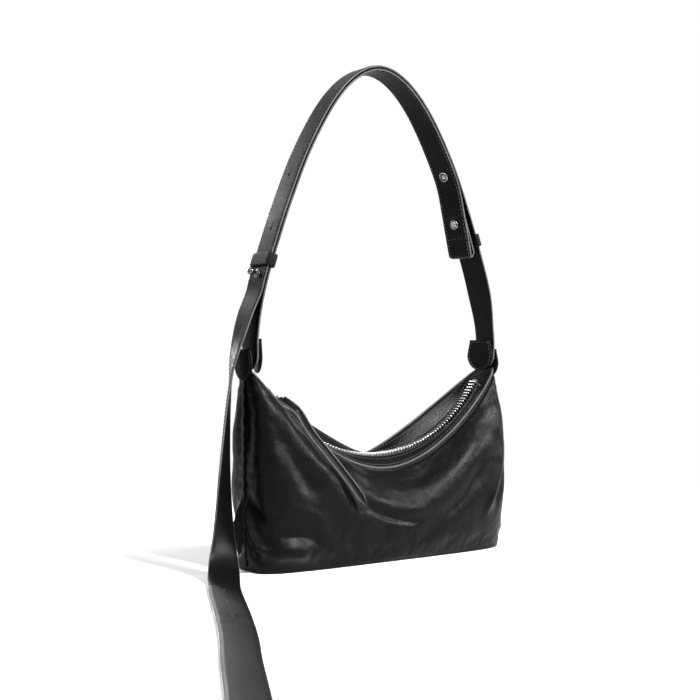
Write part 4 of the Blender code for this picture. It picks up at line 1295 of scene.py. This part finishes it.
def inner_ply_line():
    """The inner ply's middle line with its fold, and the index where the fold turns up."""
    depth = STRAP_THICKNESS / 2 + PLY_STEP
    centre = STRAP_OUTER - strap_frames(STRAP_OUTER)[2] * depth
    half = len(STRAP_OUTER) // 2
    keep = [p for i, p in enumerate(centre) if i < half or p[2] > FOLD_START]
    foot = [keep[0] - np.array([0, 0, FOOT_REACH * s]) for s in FOOT_SHARES[::-1]]
    line = even_curve(keep[::4] + [keep[-1]], PLY_STATIONS)[0]
    start = keep[-1]
    bottom, up, out = strap_place(FOLD_BOTTOM, 1, 0)
    middle = bottom - out * (FOLD_DEPTH + FOLD_TURN_RADIUS) + up * FOLD_TURN_RADIUS
    low = middle - out * FOLD_TURN_RADIUS
    fold = [start + (low - start) * share for share in np.linspace(0, 1, 21)[1:]]
    for turn in np.linspace(0, math.pi, 21)[1:]:
        fold.append(middle - (out * math.cos(turn) + up * math.sin(turn)) * FOLD_TURN_RADIUS)
    last = fold[-1]
    fold += [last + up * FOLD_RETURN * share for share in np.linspace(0, 1, 11)[1:]]
    before = list(line) + fold[:20]
    return np.array(foot + soften(before, len(line), 11) + fold[20:]), len(foot) + len(before)


def soften(points, corner, reach):
    """Rounds the bend of a line at one of its points."""
    softened = [np.array(p) for p in points]
    for _ in range(reach):
        for i in range(corner - reach, min(corner + reach, len(points) - 1)):
            softened[i] = (softened[i - 1] + 2 * softened[i] + softened[i + 1]) / 4
    return softened


inner_line, turn_start = inner_ply_line()
inner_halves = [foot_half_width(p[2]) if p[0] < 0 else STRAP_HALF_WIDTH for p in inner_line]
for i in range(len(inner_line)):
    near_turn = math.exp(-((i - turn_start - 10) / TURN_SPREAD) ** 2)
    inner_halves[i] -= TURN_NARROWING * near_turn
inner_across, inner_out = strap_frames(inner_line)[1:]
inner_strap = sweep("inner_leather_strap", inner_line, inner_across, inner_out,
                    inner_halves, STRAP_THICKNESS, strap_leather, edge_paint_and_highlight)
finish(inner_strap, "strap", "strap_leather", "inner_strap")
print("strap faces", len(outer_strap.data.polygons), len(inner_strap.data.polygons))

# %% [markdown]
# ### The free tail
# Past the stud the outer ply goes on as a loose tail. It hangs along the left end, touches the
# surface the bag stands on and lies there towards the viewer. It follows the strap at its top
# and the bag at its foot, so it blends between the two.

# %% Tail
TAIL_TIP_LENGTH = 0.014
TAIL_LEAD = 0.012
TAIL_RAISE = 0.0001
TAIL_ROUTE = (
    (-0.1345, 0.0000, 0.2120), (-0.1445, 0.0000, 0.1780), (-0.1485, 0.0000, 0.1480),
    (-0.1515, -0.0005, 0.1150), (-0.1540, -0.0015, 0.0800), (-0.1570, -0.0060, 0.0430),
    (-0.1630, -0.0170, 0.0155), (-0.1760, -0.0400, 0.0027), (-0.1910, -0.0680, 0.0012),
    (-0.2120, -0.1120, 0.0012), (-0.2350, -0.1600, 0.0012), (-0.2600, -0.2100, 0.0012),
    (-0.2870, -0.2600, 0.0012), (-0.3140, -0.3120, 0.0012), (-0.3400, -0.3620, 0.0012),
)
TAIL_TWIST_SHARES = (0.0, 0.05, 0.09, 0.14, 0.26, 0.34, 0.44, 1.0)
TAIL_TWIST_ANGLES = (0.0, 0.0, -9.0, -30.0, -48.0, -66.0, -116.0, -118.0)
TAIL_SLOTS = (0.0435, 0.300, 0.346, 0.392, 0.438)
TAIL_STATIONS = 241


def tail_frames():
    """The tail's line, its run and its directions along, across and out, with its twist."""
    start, up, _ = strap_place(TAIL_TOP + 4 * LAYER_GAP, -1, STRAP_THICKNESS / 2 - TAIL_RAISE)
    route = [start, start - up * TAIL_LEAD] + [np.array(p) for p in TAIL_ROUTE]
    line, run = even_curve(route, TAIL_STATIONS)
    tangents = unit(np.gradient(line, axis=0))
    places = np.linspace(0, 1, 401)
    twist = np.interp(places, TAIL_TWIST_SHARES, TAIL_TWIST_ANGLES)
    twist = np.convolve(np.pad(twist, 12, mode="edge"), np.ones(25) / 25, mode="valid")
    twist = np.radians(np.interp(run / run[-1], places, twist))
    across = width_directions(twist, tangents)
    return line, run, tangents, across, np.cross(across, tangents)


tail_line, tail_run, tail_tangents, tail_across, tail_out = tail_frames()
tail_left = tail_run[-1] - tail_run
tail_tip = np.sqrt(np.clip(1 - (1 - np.clip(tail_left / TAIL_TIP_LENGTH, 0, 1)) ** 2, 0.12, 1))
tail_halves = STRAP_HALF_WIDTH * tail_tip
tail = sweep("strap_free_tail", tail_line, tail_across, tail_out, tail_halves,
             STRAP_THICKNESS, strap_leather, edge_paint_and_highlight)
tail_places = []
for distance in TAIL_SLOTS:
    i = int(np.argmin(np.abs(tail_run - distance)))
    tail_places.append((tail_line[i], tail_tangents[i], tail_out[i]))
cut_slots(tail, tail_places)
for vertex in tail.data.vertices:
    vertex.co.z = max(vertex.co.z, 0.0)
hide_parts("strap_tail")
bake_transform(tail)
print("tail length", round(float(tail_run[-1]), 3))

# %% [markdown]
# ## Keepers and tabs
# Two narrow leather loops keep the plies together, and a pair of tabs clasps the strap at each
# end of the bag. A keeper's band is softened by a subdivision, and a tab is a stack of outlines
# that shrink towards its faces. A small cap closes each horn of the bag under its tabs.


# %% Keepers
KEEPER_HEIGHT = 0.012
KEEPER_THICKNESS = 0.0016
KEEPER_CORNER = 0.0018
KEEPER_CHAMFER = 0.0005


def rounded_loop(reach, half_depth):
    """Points round a rectangle with round corners, and the outward direction at each."""
    corner = min(KEEPER_CORNER, half_depth * 0.9)
    loop = []
    for cx, cy, start in ((1, 1, 0.0), (-1, 1, 0.5), (-1, -1, 1.0), (1, -1, 1.5)):
        for turn in np.linspace(start, start + 0.5, 7) * math.pi:
            u = cx * (reach - corner) + corner * math.cos(turn)
            v = cy * (half_depth - corner) + corner * math.sin(turn)
            loop.append((u, v))
    loop = np.array(loop)
    ahead = unit(np.roll(loop, -1, axis=0) - np.roll(loop, 1, axis=0))
    return loop, np.stack([ahead[:, 1], -ahead[:, 0]], axis=1)


def add_keeper(name, height, side, low, high, body, solid):
    """A loop swept round the strap: its line is a rounded rectangle, its section a flat band."""
    centre, up, out = strap_place(height, side, 0)
    across = np.cross(out, up)
    half, thick = KEEPER_HEIGHT / 2, KEEPER_THICKNESS / 2
    low, high = low - thick, high + thick
    middle, half_depth = (low + high) / 2, (high - low) / 2
    loop, outward = rounded_loop(STRAP_HALF_WIDTH + RUNNING_GAP + thick, half_depth)
    flat = half - KEEPER_CHAMFER
    section = [(-half, 0.0), (-flat, thick), (-flat * 0.8, thick), (0, thick * 1.15),
               (flat * 0.8, thick), (flat, thick), (half, 0.0), (flat, -thick), (-flat, -thick)]
    points = []
    for (u, v), (nu, nv) in zip(loop, outward):
        for s, t in section:
            points.append(centre + across * (u + nu * t) + out * (middle + v + nv * t) + up * s)
    columns = len(section)
    faces = grid_quads(len(loop), columns, wrap=True)
    last = (len(loop) - 1) * columns
    for c in range(columns):
        d = (c + 1) % columns
        faces.append((last + c, last + d, d, c))
    keeper = solid_from(name, points, faces, strap_leather)
    rounder = keeper.modifiers.new("smoother", "SUBSURF")
    rounder.levels = rounder.render_levels = 1
    apply_modifiers(keeper)
    return finish(keeper, body, "strap_leather", solid)


add_keeper("left_loop_keeper", LEFT_KEEPER_HEIGHT, -1, -2 * STRAP_THICKNESS - PLY_GAP - RUNNING_GAP,
           RUNNING_GAP, "left_keeper", "left_keeper")
add_keeper("right_loop_keeper", RIGHT_KEEPER_HEIGHT, 1, -STRAP_THICKNESS - RUNNING_GAP, RUNNING_GAP,
           "right_keeper", "right_keeper")


# %% Tabs
TAB_TURN = math.radians(15.0)
TAB_HALF_THICKNESS = 0.0008
OUTER_TAB_TRIM = 0.007
TAB_FACES = {"left_outer_tab": -1, "left_inner_tab": 1, "right_outer_tab": 1, "right_inner_tab": -1}
TAB_WAIST = ((0.80, 0.0), (0.84, 0.25), (0.93, 0.6), (0.99, 0.9))
TAB_LEVELS = ((-1.0, 0.97), (-0.6, 1.0), (0.6, 1.0), (1.0, 0.97), (1.25, 0.86), (1.35, 0.6), (1.4, 0.2))


def tab_outline(half, bottom, top):
    """Half round below, straight in the middle and a little narrower at the top."""
    straight = [(half * width, top + (bottom + half - top) * share) for width, share in TAB_WAIST]
    arc = [(half * math.cos(t), bottom + half + half * math.sin(t))
           for t in np.linspace(math.pi, 2 * math.pi, 33)]
    return [(-u, v) for u, v in straight] + arc + straight[::-1]


def tab_place(solid):
    """A tab's middle on the ground plan, its directions across and out, its half width and ends."""
    low, high = (np.array(v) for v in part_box(solid))
    side = 1 if solid.startswith("right") else -1
    inner = "inner" in solid
    turn = TAB_TURN * side if inner else 0.0
    width = np.array([-math.sin(turn), math.cos(turn), 0.0])
    face = np.array([math.cos(turn), math.sin(turn), 0.0])
    middle = (low + high) / 2
    half = (high[1] - low[1]) / 2
    middle = middle - np.array([side * half * abs(math.sin(turn)), 0, 0])
    bottom = low[2] if inner else low[2] + OUTER_TAB_TRIM
    return middle * np.array([1, 1, 0]), width, face * TAB_FACES[solid], half, bottom, high[2]


def add_tab(solid):
    """A leather tab with rounded edges and a soft crown, in the place of its solid."""
    middle, width, face, half, bottom, top = tab_place(solid)
    outline = tab_outline(half, bottom, top)
    centre = np.array([0.0, (bottom + top) / 2])
    points = []
    for level, shrink in TAB_LEVELS:
        for u, v in outline:
            flat = centre + (np.array([u, v]) - centre) * shrink
            place = middle + width * flat[0] + face * level * TAB_HALF_THICKNESS
            points.append(place + np.array([0, 0, flat[1]]))
    faces = tube_faces(len(TAB_LEVELS), len(outline), flip_ends=True)
    tab = solid_from(solid + "_leather", points, faces, strap_leather)
    return finish(tab, "bag", "strap_leather", solid)


for solid in TAB_FACES:
    add_tab(solid)


# %% Horn caps
CAP_START = 0.1120
CAP_THICKNESS = 0.0012
CAP_INSET = 0.0004
CAP_LIFT = 0.0002
CAP_OVER_ZIP = 0.0022
CAP_OVER_HORN = 0.0006
CAP_WAVE = 0.0004
CAP_ROWS = 17
CAP_COLUMNS = 25


def add_horn_cap(name, side):
    """Leather that closes the top of the bag between the end of the zip and the strap."""
    top, under = [], []
    zip_level = ZIP_CENTRE_HEIGHT - math.sqrt(ZIP_RADIUS ** 2 - CAP_START ** 2) + CAP_OVER_ZIP
    for x in np.linspace(CAP_START, RIM_ROLL_REACH, CAP_ROWS):
        share = (x - CAP_START) / (RIM_ROLL_REACH - CAP_START)
        front, back = (
            np.array([side * x, way * (rim_depth(x) - CAP_INSET), rim_height(x, *shape) + CAP_LIFT])
            for way, *shape in (RIMS["front"], RIMS["back"]))
        middle = zip_level + (HORN_HEIGHT + CAP_OVER_HORN - zip_level) * share
        for v in np.linspace(0, 1, CAP_COLUMNS):
            crown = 1 - (2 * v - 1) ** 2
            place = front * (1 - v) + back * v
            place[2] += (middle - (front[2] + back[2]) / 2) * crown
            place[2] += CAP_WAVE * math.sin(v * 23 + x * 900) * crown
            top.append(place)
            under.append(place - np.array([0, 0, CAP_THICKNESS]))
    cap = solid_from(name, top + under, sheet_faces(CAP_ROWS, CAP_COLUMNS), body_leather)
    return finish(cap, "bag", "body_leather")


add_horn_cap("left_horn_cap", -1)
add_horn_cap("right_horn_cap", 1)
print("keepers, tabs and horn caps made")

# %% [markdown]
# ## The zip pull
# The pull is a long narrow strip of leather, folded and sewn, with raised edges in the pale edge
# colour, which is edge paint and a painted highlight, and a groove of plain dark leather down its
# middle. It hangs from the slider over the front shoulder of the bag and ends in a point.

# %% Pull
PULL_LENGTH = 0.112
PULL_WIDTH = 0.0075
PULL_THICKNESS = 0.0022
PULL_LEAN = 34.0
PULL_STAND_OFF = 0.0063
PULL_BOW_SHARE = 0.09
PULL_SHARES = (0.0, 0.06, 0.13, 0.3, 0.45, 0.6, 0.8, 1.0)
POST_REACH = 0.0081
SLIDER_DISTANCE = 0.10725
BAIL_DROP = 0.0054
PULL_TIP_LENGTH = 0.012
PULL_SECTION = (
    (1.0, 0.0), (0.97, 0.75), (0.85, 1.0), (0.70, 0.95), (0.58, 0.55), (0.0, 0.45), (-0.58, 0.55),
    (-0.70, 0.95), (-0.85, 1.0), (-0.97, 0.75), (-1.0, 0.0), (-0.9, -0.9), (0.0, -1.0), (0.9, -0.9),
)
PULL_EDGES = (0, 1, 2, 7, 8, 9)


def front_depth(x, z):
    """How far the front panel stands out from the middle plane, before its folds."""
    rises = [row[0] for row in ROW_SHARES[3:]]
    depths = [DEPTH_STAGES[s] + (DEPTH_STAGES[s + 1] - DEPTH_STAGES[s]) * o
              for _, o, s in ROW_SHARES[3:]]
    return float(np.interp(z / rim_height(x, *RIMS["front"][1:]), rises, depths))


def pull_line(stations):
    """The pull's middle line, which bows out over the front shoulder, and its lean."""
    along = np.array([math.sin(math.radians(PULL_LEAN)), 0, -math.cos(math.radians(PULL_LEAN))])
    hinge = arc_point(-math.asin(SLIDER_DISTANCE / ZIP_RADIUS), ZIP_RADIUS - BAIL_DROP, 0.0)
    start = hinge + np.array([0, -POST_REACH - RUNNING_GAP - PULL_THICKNESS / 2, 0])
    points = []
    for share in PULL_SHARES:
        place = start + along * PULL_LENGTH * share
        depth = front_depth(place[0], place[2]) + PULL_STAND_OFF
        near = min(share / PULL_BOW_SHARE, 1.0)
        place[1] = (1 - near) * start[1] - near * max(depth, -start[1])
        points.append(place)
    return even_curve(points, stations)[0], along


def add_pull():
    """A strip with raised edges that follows its line and narrows to a point."""
    line, along = pull_line(121)
    tangents = unit(np.gradient(line, axis=0))
    side = np.cross(along, np.array([0.0, 1.0, 0.0]))
    run = distances(line)
    tip = np.clip((run[-1] - run) / PULL_TIP_LENGTH, 0.12, 1.0)
    half, thick = PULL_WIDTH / 2, PULL_THICKNESS / 2
    points = []
    for place, ahead, share in zip(line, tangents, tip):
        out = np.cross(ahead, side)
        out = out * (-1 if out[1] > 0 else 1)
        for u, v in PULL_SECTION:
            points.append(place + side * half * share * u + out * thick * v)
    columns = len(PULL_SECTION)
    pull = solid_from("leather_zip_pull", points, tube_faces(len(line), columns), strap_leather)
    # The raised edges take the pale edge colour: edge paint and a painted highlight.
    pull.data.materials.append(edge_paint_and_highlight)
    for face in pull.data.polygons[:(len(line) - 1) * columns]:
        face.material_index = int(face.index % columns in PULL_EDGES)
    return finish(pull, "pull", "strap_leather", "zip_pull")


zip_pull = add_pull()
print("pull faces", len(zip_pull.data.polygons))

# %% [markdown]
# ## Stitching
# Every leather edge is sewn. One stitch is a short fat thread, a little capsule; the same tree
# that set the teeth places it along lines that run a fixed distance in from each edge.


# %% Stitch lines
def capsule(name, length, radius, material):
    """A stitch: a thread that dips into the leather at both ends."""
    bm = bmesh.new()
    rings = []
    for share in np.linspace(-1, 1, 7):
        reach = radius * math.sqrt(max(1 - abs(share) ** 3, 0.04))
        rings.append([bm.verts.new((share * length / 2, reach * math.cos(t), reach * math.sin(t)))
                      for t in np.linspace(0, 2 * math.pi, 6, endpoint=False)])
    for a, b in zip(rings, rings[1:]):
        for i in range(6):
            j = (i + 1) % 6
            bm.faces.new((a[i], b[i], b[j], a[j]))
    bm.faces.new(rings[0])
    bm.faces.new(rings[-1][::-1])
    bmesh.ops.recalc_face_normals(bm, faces=bm.faces)
    return link_bmesh(name, bm, material)


STITCH_LENGTH = 0.0026
STITCH_RADIUS = 0.00034
STITCH_SPACING = 0.0034
STITCH_JITTER = 0.08
STITCH_SEED = 5
STITCH_LIFT = 0.0001
STITCH_FOOT_GAP = 0.004
stitch = capsule("stitch", STITCH_LENGTH, STITCH_RADIUS, thread)


def edge_lines(line, across, out, half_widths, level, inset=EDGE_INSET, keep=None):
    """Two lines along a strap, a little in from its edges and on its face."""
    chosen = range(len(line)) if keep is None else [i for i in range(len(line)) if keep(line[i])]
    return [[line[i] + across[i] * s * (half_widths[i] - inset) + out[i] * level for i in chosen]
            for s in (-1, 1)]


def stitch_lines(name, lines):
    return place_along(name, lines, stitch, STITCH_SPACING, STITCH_JITTER, STITCH_SEED, thread)


def sew(name, lines, body):
    return finish(stitch_lines(name, lines), body, "strap_leather")


def above_foot(point):
    return point[2] > STRAP_FOOT + STITCH_FOOT_GAP


strap_level = STRAP_THICKNESS / 2 * SEAM_PRESS + STITCH_LIFT
sew("outer_strap_stitches", edge_lines(outer_line, outer_across, outer_out, outer_halves, strap_level,
                                       keep=above_foot), "strap")


def inner_leg_place(height):
    """Index of the inner ply's point at a height on the right leg, before its fold turns up."""
    leg = [i for i in range(turn_start) if inner_line[i][0] > STRAP_HALF_SPAN / 2]
    return min(leg, key=lambda i: abs(inner_line[i][2] - height))


def cross_line(height):
    """A line of stitches from edge to edge over the right leg's inner ply."""
    place = inner_leg_place(height)
    start = inner_line[place] - inner_out[place] * strap_level
    reach = inner_halves[place] - EDGE_INSET * 1.4
    return [start + inner_across[place] * reach * share for share in np.linspace(-1, 1, 21)]


CROSS_STITCH_HEIGHT = 0.290
inner_lines = edge_lines(inner_line, inner_across, inner_out, inner_halves, -strap_level,
                         keep=above_foot)
sew("inner_strap_stitches", inner_lines + [cross_line(CROSS_STITCH_HEIGHT)], "strap")
tail_stitches = stitch_lines("tail_stitches", edge_lines(tail_line, tail_across, tail_out,
                                                         tail_halves, strap_level))
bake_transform(tail_stitches)


# %% Facing and tab stitches
FACING_STITCH_SHARES = (0.28, 0.78)
FACING_STITCH_LIFT = 0.0002


def facing_line(which, share, level, half_angle=FACING_HALF_ANGLE - 1.5):
    rows = []
    for angle in np.radians(np.linspace(-half_angle, half_angle, 241)):
        point, up = facing_section(angle, which, TAPE_INNER, share)
        rows.append(point + up * level)
    return rows


facing_top = FACING_LIFT + FACING_THICKNESS + STITCH_LIFT
for which in ("front", "back"):
    lines = [facing_line(which, share, facing_top + FACING_STITCH_LIFT)
             for share in FACING_STITCH_SHARES]
    sew(which + "_facing_stitches", lines, "bag")


TAB_STITCH_LEVEL = 0.00098


def tab_line(solid):
    """A closed line of stitches a little in from a tab's edge."""
    middle, width, face, half, bottom, top = tab_place(solid)
    reach = (half - EDGE_INSET) / half
    line = []
    for u, v in tab_outline(half, bottom + EDGE_INSET / 2, top - EDGE_INSET):
        place = middle + width * u * reach + face * TAB_STITCH_LEVEL
        line.append(place + np.array([0, 0, v]))
    return line + [line[0]]


sew("tab_stitches", [tab_line(solid) for solid in TAB_FACES], "bag")
bpy.data.objects.remove(stitch)
print("stitched")

# %% [markdown]
# ## Metal fittings
# The ball stud, the flat stud and the screw are turned: a profile goes round an axis, and bands
# of it sit in grooves that are painted dark as painted shade. The slider, ring, stops and the screw
# back on the left keep the frame's solids and only need plated metal. The stiff boards inside get a
# fibre finish.

# %% Turned studs
LATHE_SEGMENTS = 40
STUD_HALF_THICKNESS = 0.0005
DRIVER_SLOT = (0.0009, 0.0011, 0.012)
DRIVER_SLOT_BEVEL = 0.0001


def lathe(name, base, out, across, up, profile, grooves, material):
    """A profile of (radius, level) turned round an axis; the bands named in grooves are painted dark as
    painted shade in the recesses.
    """
    turns = np.linspace(0, 2 * math.pi, LATHE_SEGMENTS, endpoint=False)
    points = [base + out * level + (across * math.cos(t) + up * math.sin(t)) * radius
              for radius, level in profile for t in turns]
    piece = solid_from(name, points, tube_faces(len(profile), LATHE_SEGMENTS), material)
    # Painted shade: the groove bands take the dark metal.
    piece.data.materials.append(groove_shade_metal)
    for face in piece.data.polygons[:(len(profile) - 1) * LATHE_SEGMENTS]:
        face.material_index = int(face.index // LATHE_SEGMENTS in grooves)
    return piece


def turned(name, solid, profile, grooves, material, slot_turn=None):
    """A turned metal piece in the place of a flat round solid, whose outer face looks inwards."""
    low, high = (np.array(v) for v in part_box(solid))
    nearest = inner_leg_place(float((low[2] + high[2]) / 2))
    out = -inner_out[nearest]
    across = inner_across[nearest]
    up = np.cross(out, across)
    base = (low + high) / 2 - out * STUD_HALF_THICKNESS
    piece = lathe(name, base, out, across, up, profile, grooves, material)
    if slot_turn is not None:
        cutter = rounded_block("driver_slot", DRIVER_SLOT, (0, 0, 0), DRIVER_SLOT_BEVEL, 1, material)
        place = axes_matrix(base + out * profile[-1][1], across, out, up)
        cutter.data.transform(place @ Matrix.Rotation(slot_turn, 4, "Y"))
        cut(piece, cutter)
    return finish(piece, "strap", "polished_metal", solid)


DISC_PROFILE = (
    (0.0046, 0.0), (0.0047, 0.0004), (0.0045, 0.0009), (0.0041, 0.0012), (0.0037, 0.0011),
    (0.0034, 0.0006), (0.0026, 0.0005), (0.0022, 0.0009), (0.0015, 0.0013), (0.0008, 0.0014),
    (0.0002, 0.0014),
)
SCREW_PROFILE = (
    (0.0043, 0.0), (0.0044, 0.0003), (0.0042, 0.0006), (0.0038, 0.0007), (0.0035, 0.0004),
    (0.0031, 0.0004), (0.0029, 0.0009), (0.0026, 0.0012), (0.0014, 0.0013), (0.0002, 0.0013),
)
turned("turned_disc_stud", "disc_stud", DISC_PROFILE, (4, 5, 6), polished_metal)
turned("turned_fold_screw", "fold_screw", SCREW_PROFILE, (3, 4, 5), polished_metal, math.radians(25))

# %% Ball stud
BALL_RADIUS = 0.0033
BALL_LEVEL = 0.0063
STUD_PROFILE = (
    (0.0041, 0.0), (0.0042, 0.0003), (0.0040, 0.0007), (0.0034, 0.0009), (0.0019, 0.0010),
    (0.0016, 0.0015), (0.0016, 0.0030),
)


def add_ball_stud():
    """The stud that the strap's slots button over: flange, neck and ball turned in one piece."""
    base, up, out = strap_place(STUD_HEIGHT, -1, 0)
    across = np.cross(up, out)
    ball = [(BALL_RADIUS * math.cos(a), BALL_LEVEL + BALL_RADIUS * math.sin(a))
            for a in np.radians(np.linspace(-55, 87, 15))]
    stud = lathe("turned_ball_stud", base, out, across, up, STUD_PROFILE + tuple(ball), (), dark_metal)
    return finish(stud, "strap", "polished_metal", "strap_stud")


ball_stud = add_ball_stud()
print("ball stud faces", len(ball_stud.data.polygons))

# %% Pocket hem
HEM_LEAN = 0.0002
HEM_TAPER = 0.0012
HEM_STATIONS = 61
HEM_SIDES = 20


def add_pocket_hem():
    """A folded band of leather along the slip pocket's mouth, which leans back with the pocket."""
    low, high = (np.array(v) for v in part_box("pocket_hem"))
    half_thick, half_tall = (high[1] - low[1] - HEM_LEAN) / 2, (high[2] - low[2]) / 2
    middle = (low + high) / 2
    turns = np.linspace(0, 2 * math.pi, HEM_SIDES, endpoint=False)
    points = []
    for x in np.linspace(low[0], high[0], HEM_STATIONS):
        end = min(x - low[0], high[0] - x)
        full = 0.55 + 0.45 * float(smooth_step(0, HEM_TAPER, end))
        for turn in turns:
            up = math.copysign(abs(math.sin(turn)) ** 0.35, math.sin(turn)) * half_tall
            out = math.copysign(abs(math.cos(turn)) ** 0.8, math.cos(turn)) * half_thick * full
            points.append((x, middle[1] + out + HEM_LEAN / 2 * up / half_tall, middle[2] + up))
    hem = solid_from("pocket_hem_band", points, tube_faces(HEM_STATIONS, HEM_SIDES, flip_ends=True),
                     body_leather)
    return finish(hem, "bag", "body_leather", "pocket_hem")


pocket_hem_band = add_pocket_hem()
print("hem faces", len(pocket_hem_band.data.polygons))

# %% Finishes on the frame's own solids
FINISHES = {
    "zip_slider": dark_metal, "zip_pull_ring": dark_metal, "zip_left_stop": dark_metal,
    "zip_right_stop": dark_metal, "stud_screw": dark_metal,
    "base_board": board_cloth, "left_anchor_plate": board_cloth, "right_anchor_plate": board_cloth,
}
for solid, material in FINISHES.items():
    for material_slot in nodes[solid].material_slots:
        material_slot.material = material
print("finished", len(FINISHES), "solids")

# %% [markdown]
# ## Studio
# A pale floor and small bright softboxes, as in a catalogue photograph of dark leather. The
# camera and every shine see a white world; the bag itself is lit at a plain level.

# %% Floor
def floor_material(name, white_from, white_to):
    """White paint near the object, which takes its shadow, and pure white backdrop beyond."""
    material, tree, paint = new_material(name)
    paint.inputs["Base Color"].default_value = (0.90, 0.90, 0.90, 1)
    paint.inputs["Roughness"].default_value = 0.9
    paint.inputs["Specular IOR Level"].default_value = 0.0
    away = tree.nodes.new("ShaderNodeVectorMath")
    away.operation = "LENGTH"
    tree.links.new(object_coordinates(tree), away.inputs[0])
    far = add_ramp(tree, away.outputs["Value"], white_from, white_to)
    share = add_math(tree, "MULTIPLY", direct_rays(tree)[1], far)
    glow = tree.nodes.new("ShaderNodeEmission")
    blend = tree.nodes.new("ShaderNodeMixShader")
    tree.links.new(share, blend.inputs[0])
    tree.links.new(paint.outputs[0], blend.inputs[1])
    tree.links.new(glow.outputs[0], blend.inputs[2])
    tree.links.new(blend.outputs[0], tree.nodes["Material Output"].inputs["Surface"])
    return material


white_floor = floor_material("white_floor", 0.30, 0.75)
FLOOR_REACH = 4.0
floor = mesh_from("floor", [(-FLOOR_REACH, -FLOOR_REACH, 0), (FLOOR_REACH, -FLOOR_REACH, 0),
                            (FLOOR_REACH, FLOOR_REACH, 0), (-FLOOR_REACH, FLOOR_REACH, 0)],
                  [(0, 1, 2, 3)], white_floor)

# %% World and lamps
AMBIENT_STRENGTH = 0.25
world = bpy.data.worlds.new("studio")
bpy.context.scene.world = world
world.use_nodes = True
sky = world.node_tree
ambient, white = sky.nodes["Background"], sky.nodes.new("ShaderNodeBackground")
for backdrop, strength in ((ambient, AMBIENT_STRENGTH), (white, 1.0)):
    backdrop.inputs["Color"].default_value = (1, 1, 1, 1)
    backdrop.inputs["Strength"].default_value = strength
paths, direct = direct_rays(sky)
seen = add_math(sky, "MAXIMUM", direct, paths["Is Transmission Ray"])
mixer = sky.nodes.new("ShaderNodeMixShader")
sky.links.new(seen, mixer.inputs[0])
sky.links.new(ambient.outputs[0], mixer.inputs[1])
sky.links.new(white.outputs[0], mixer.inputs[2])
sky.links.new(mixer.outputs[0], sky.nodes["World Output"].inputs["Surface"])


def add_softbox(name, place, target, size, power):
    data = bpy.data.lights.new(name, "AREA")
    data.shape = "RECTANGLE"
    data.size, data.size_y = size
    data.energy = power
    lamp = bpy.data.objects.new(name, data)
    lamp.location = place
    lamp.rotation_euler = (Vector(target) - Vector(place)).to_track_quat("-Z", "Y").to_euler()
    bpy.context.scene.collection.objects.link(lamp)


add_softbox("front_softbox", (0.25, -1.25, 1.15), (0, 0, 0.12), (0.40, 0.40), 70)
add_softbox("right_softbox", (1.25, -1.0, 0.75), (0, 0, 0.12), (0.3, 0.5), 36)
add_softbox("left_softbox", (-0.95, -0.38, 1.1), (-0.1, 0, 0.05), (0.2, 0.4), 9)
add_softbox("back_softbox", (-0.3, 1.45, 0.95), (0, 0, 0.25), (1.1, 0.25), 8)
add_softbox("far_softbox", (0.25, 1.55, 0.5), (0, 0, 0.12), (0.35, 0.35), 18)
print("lamps made")
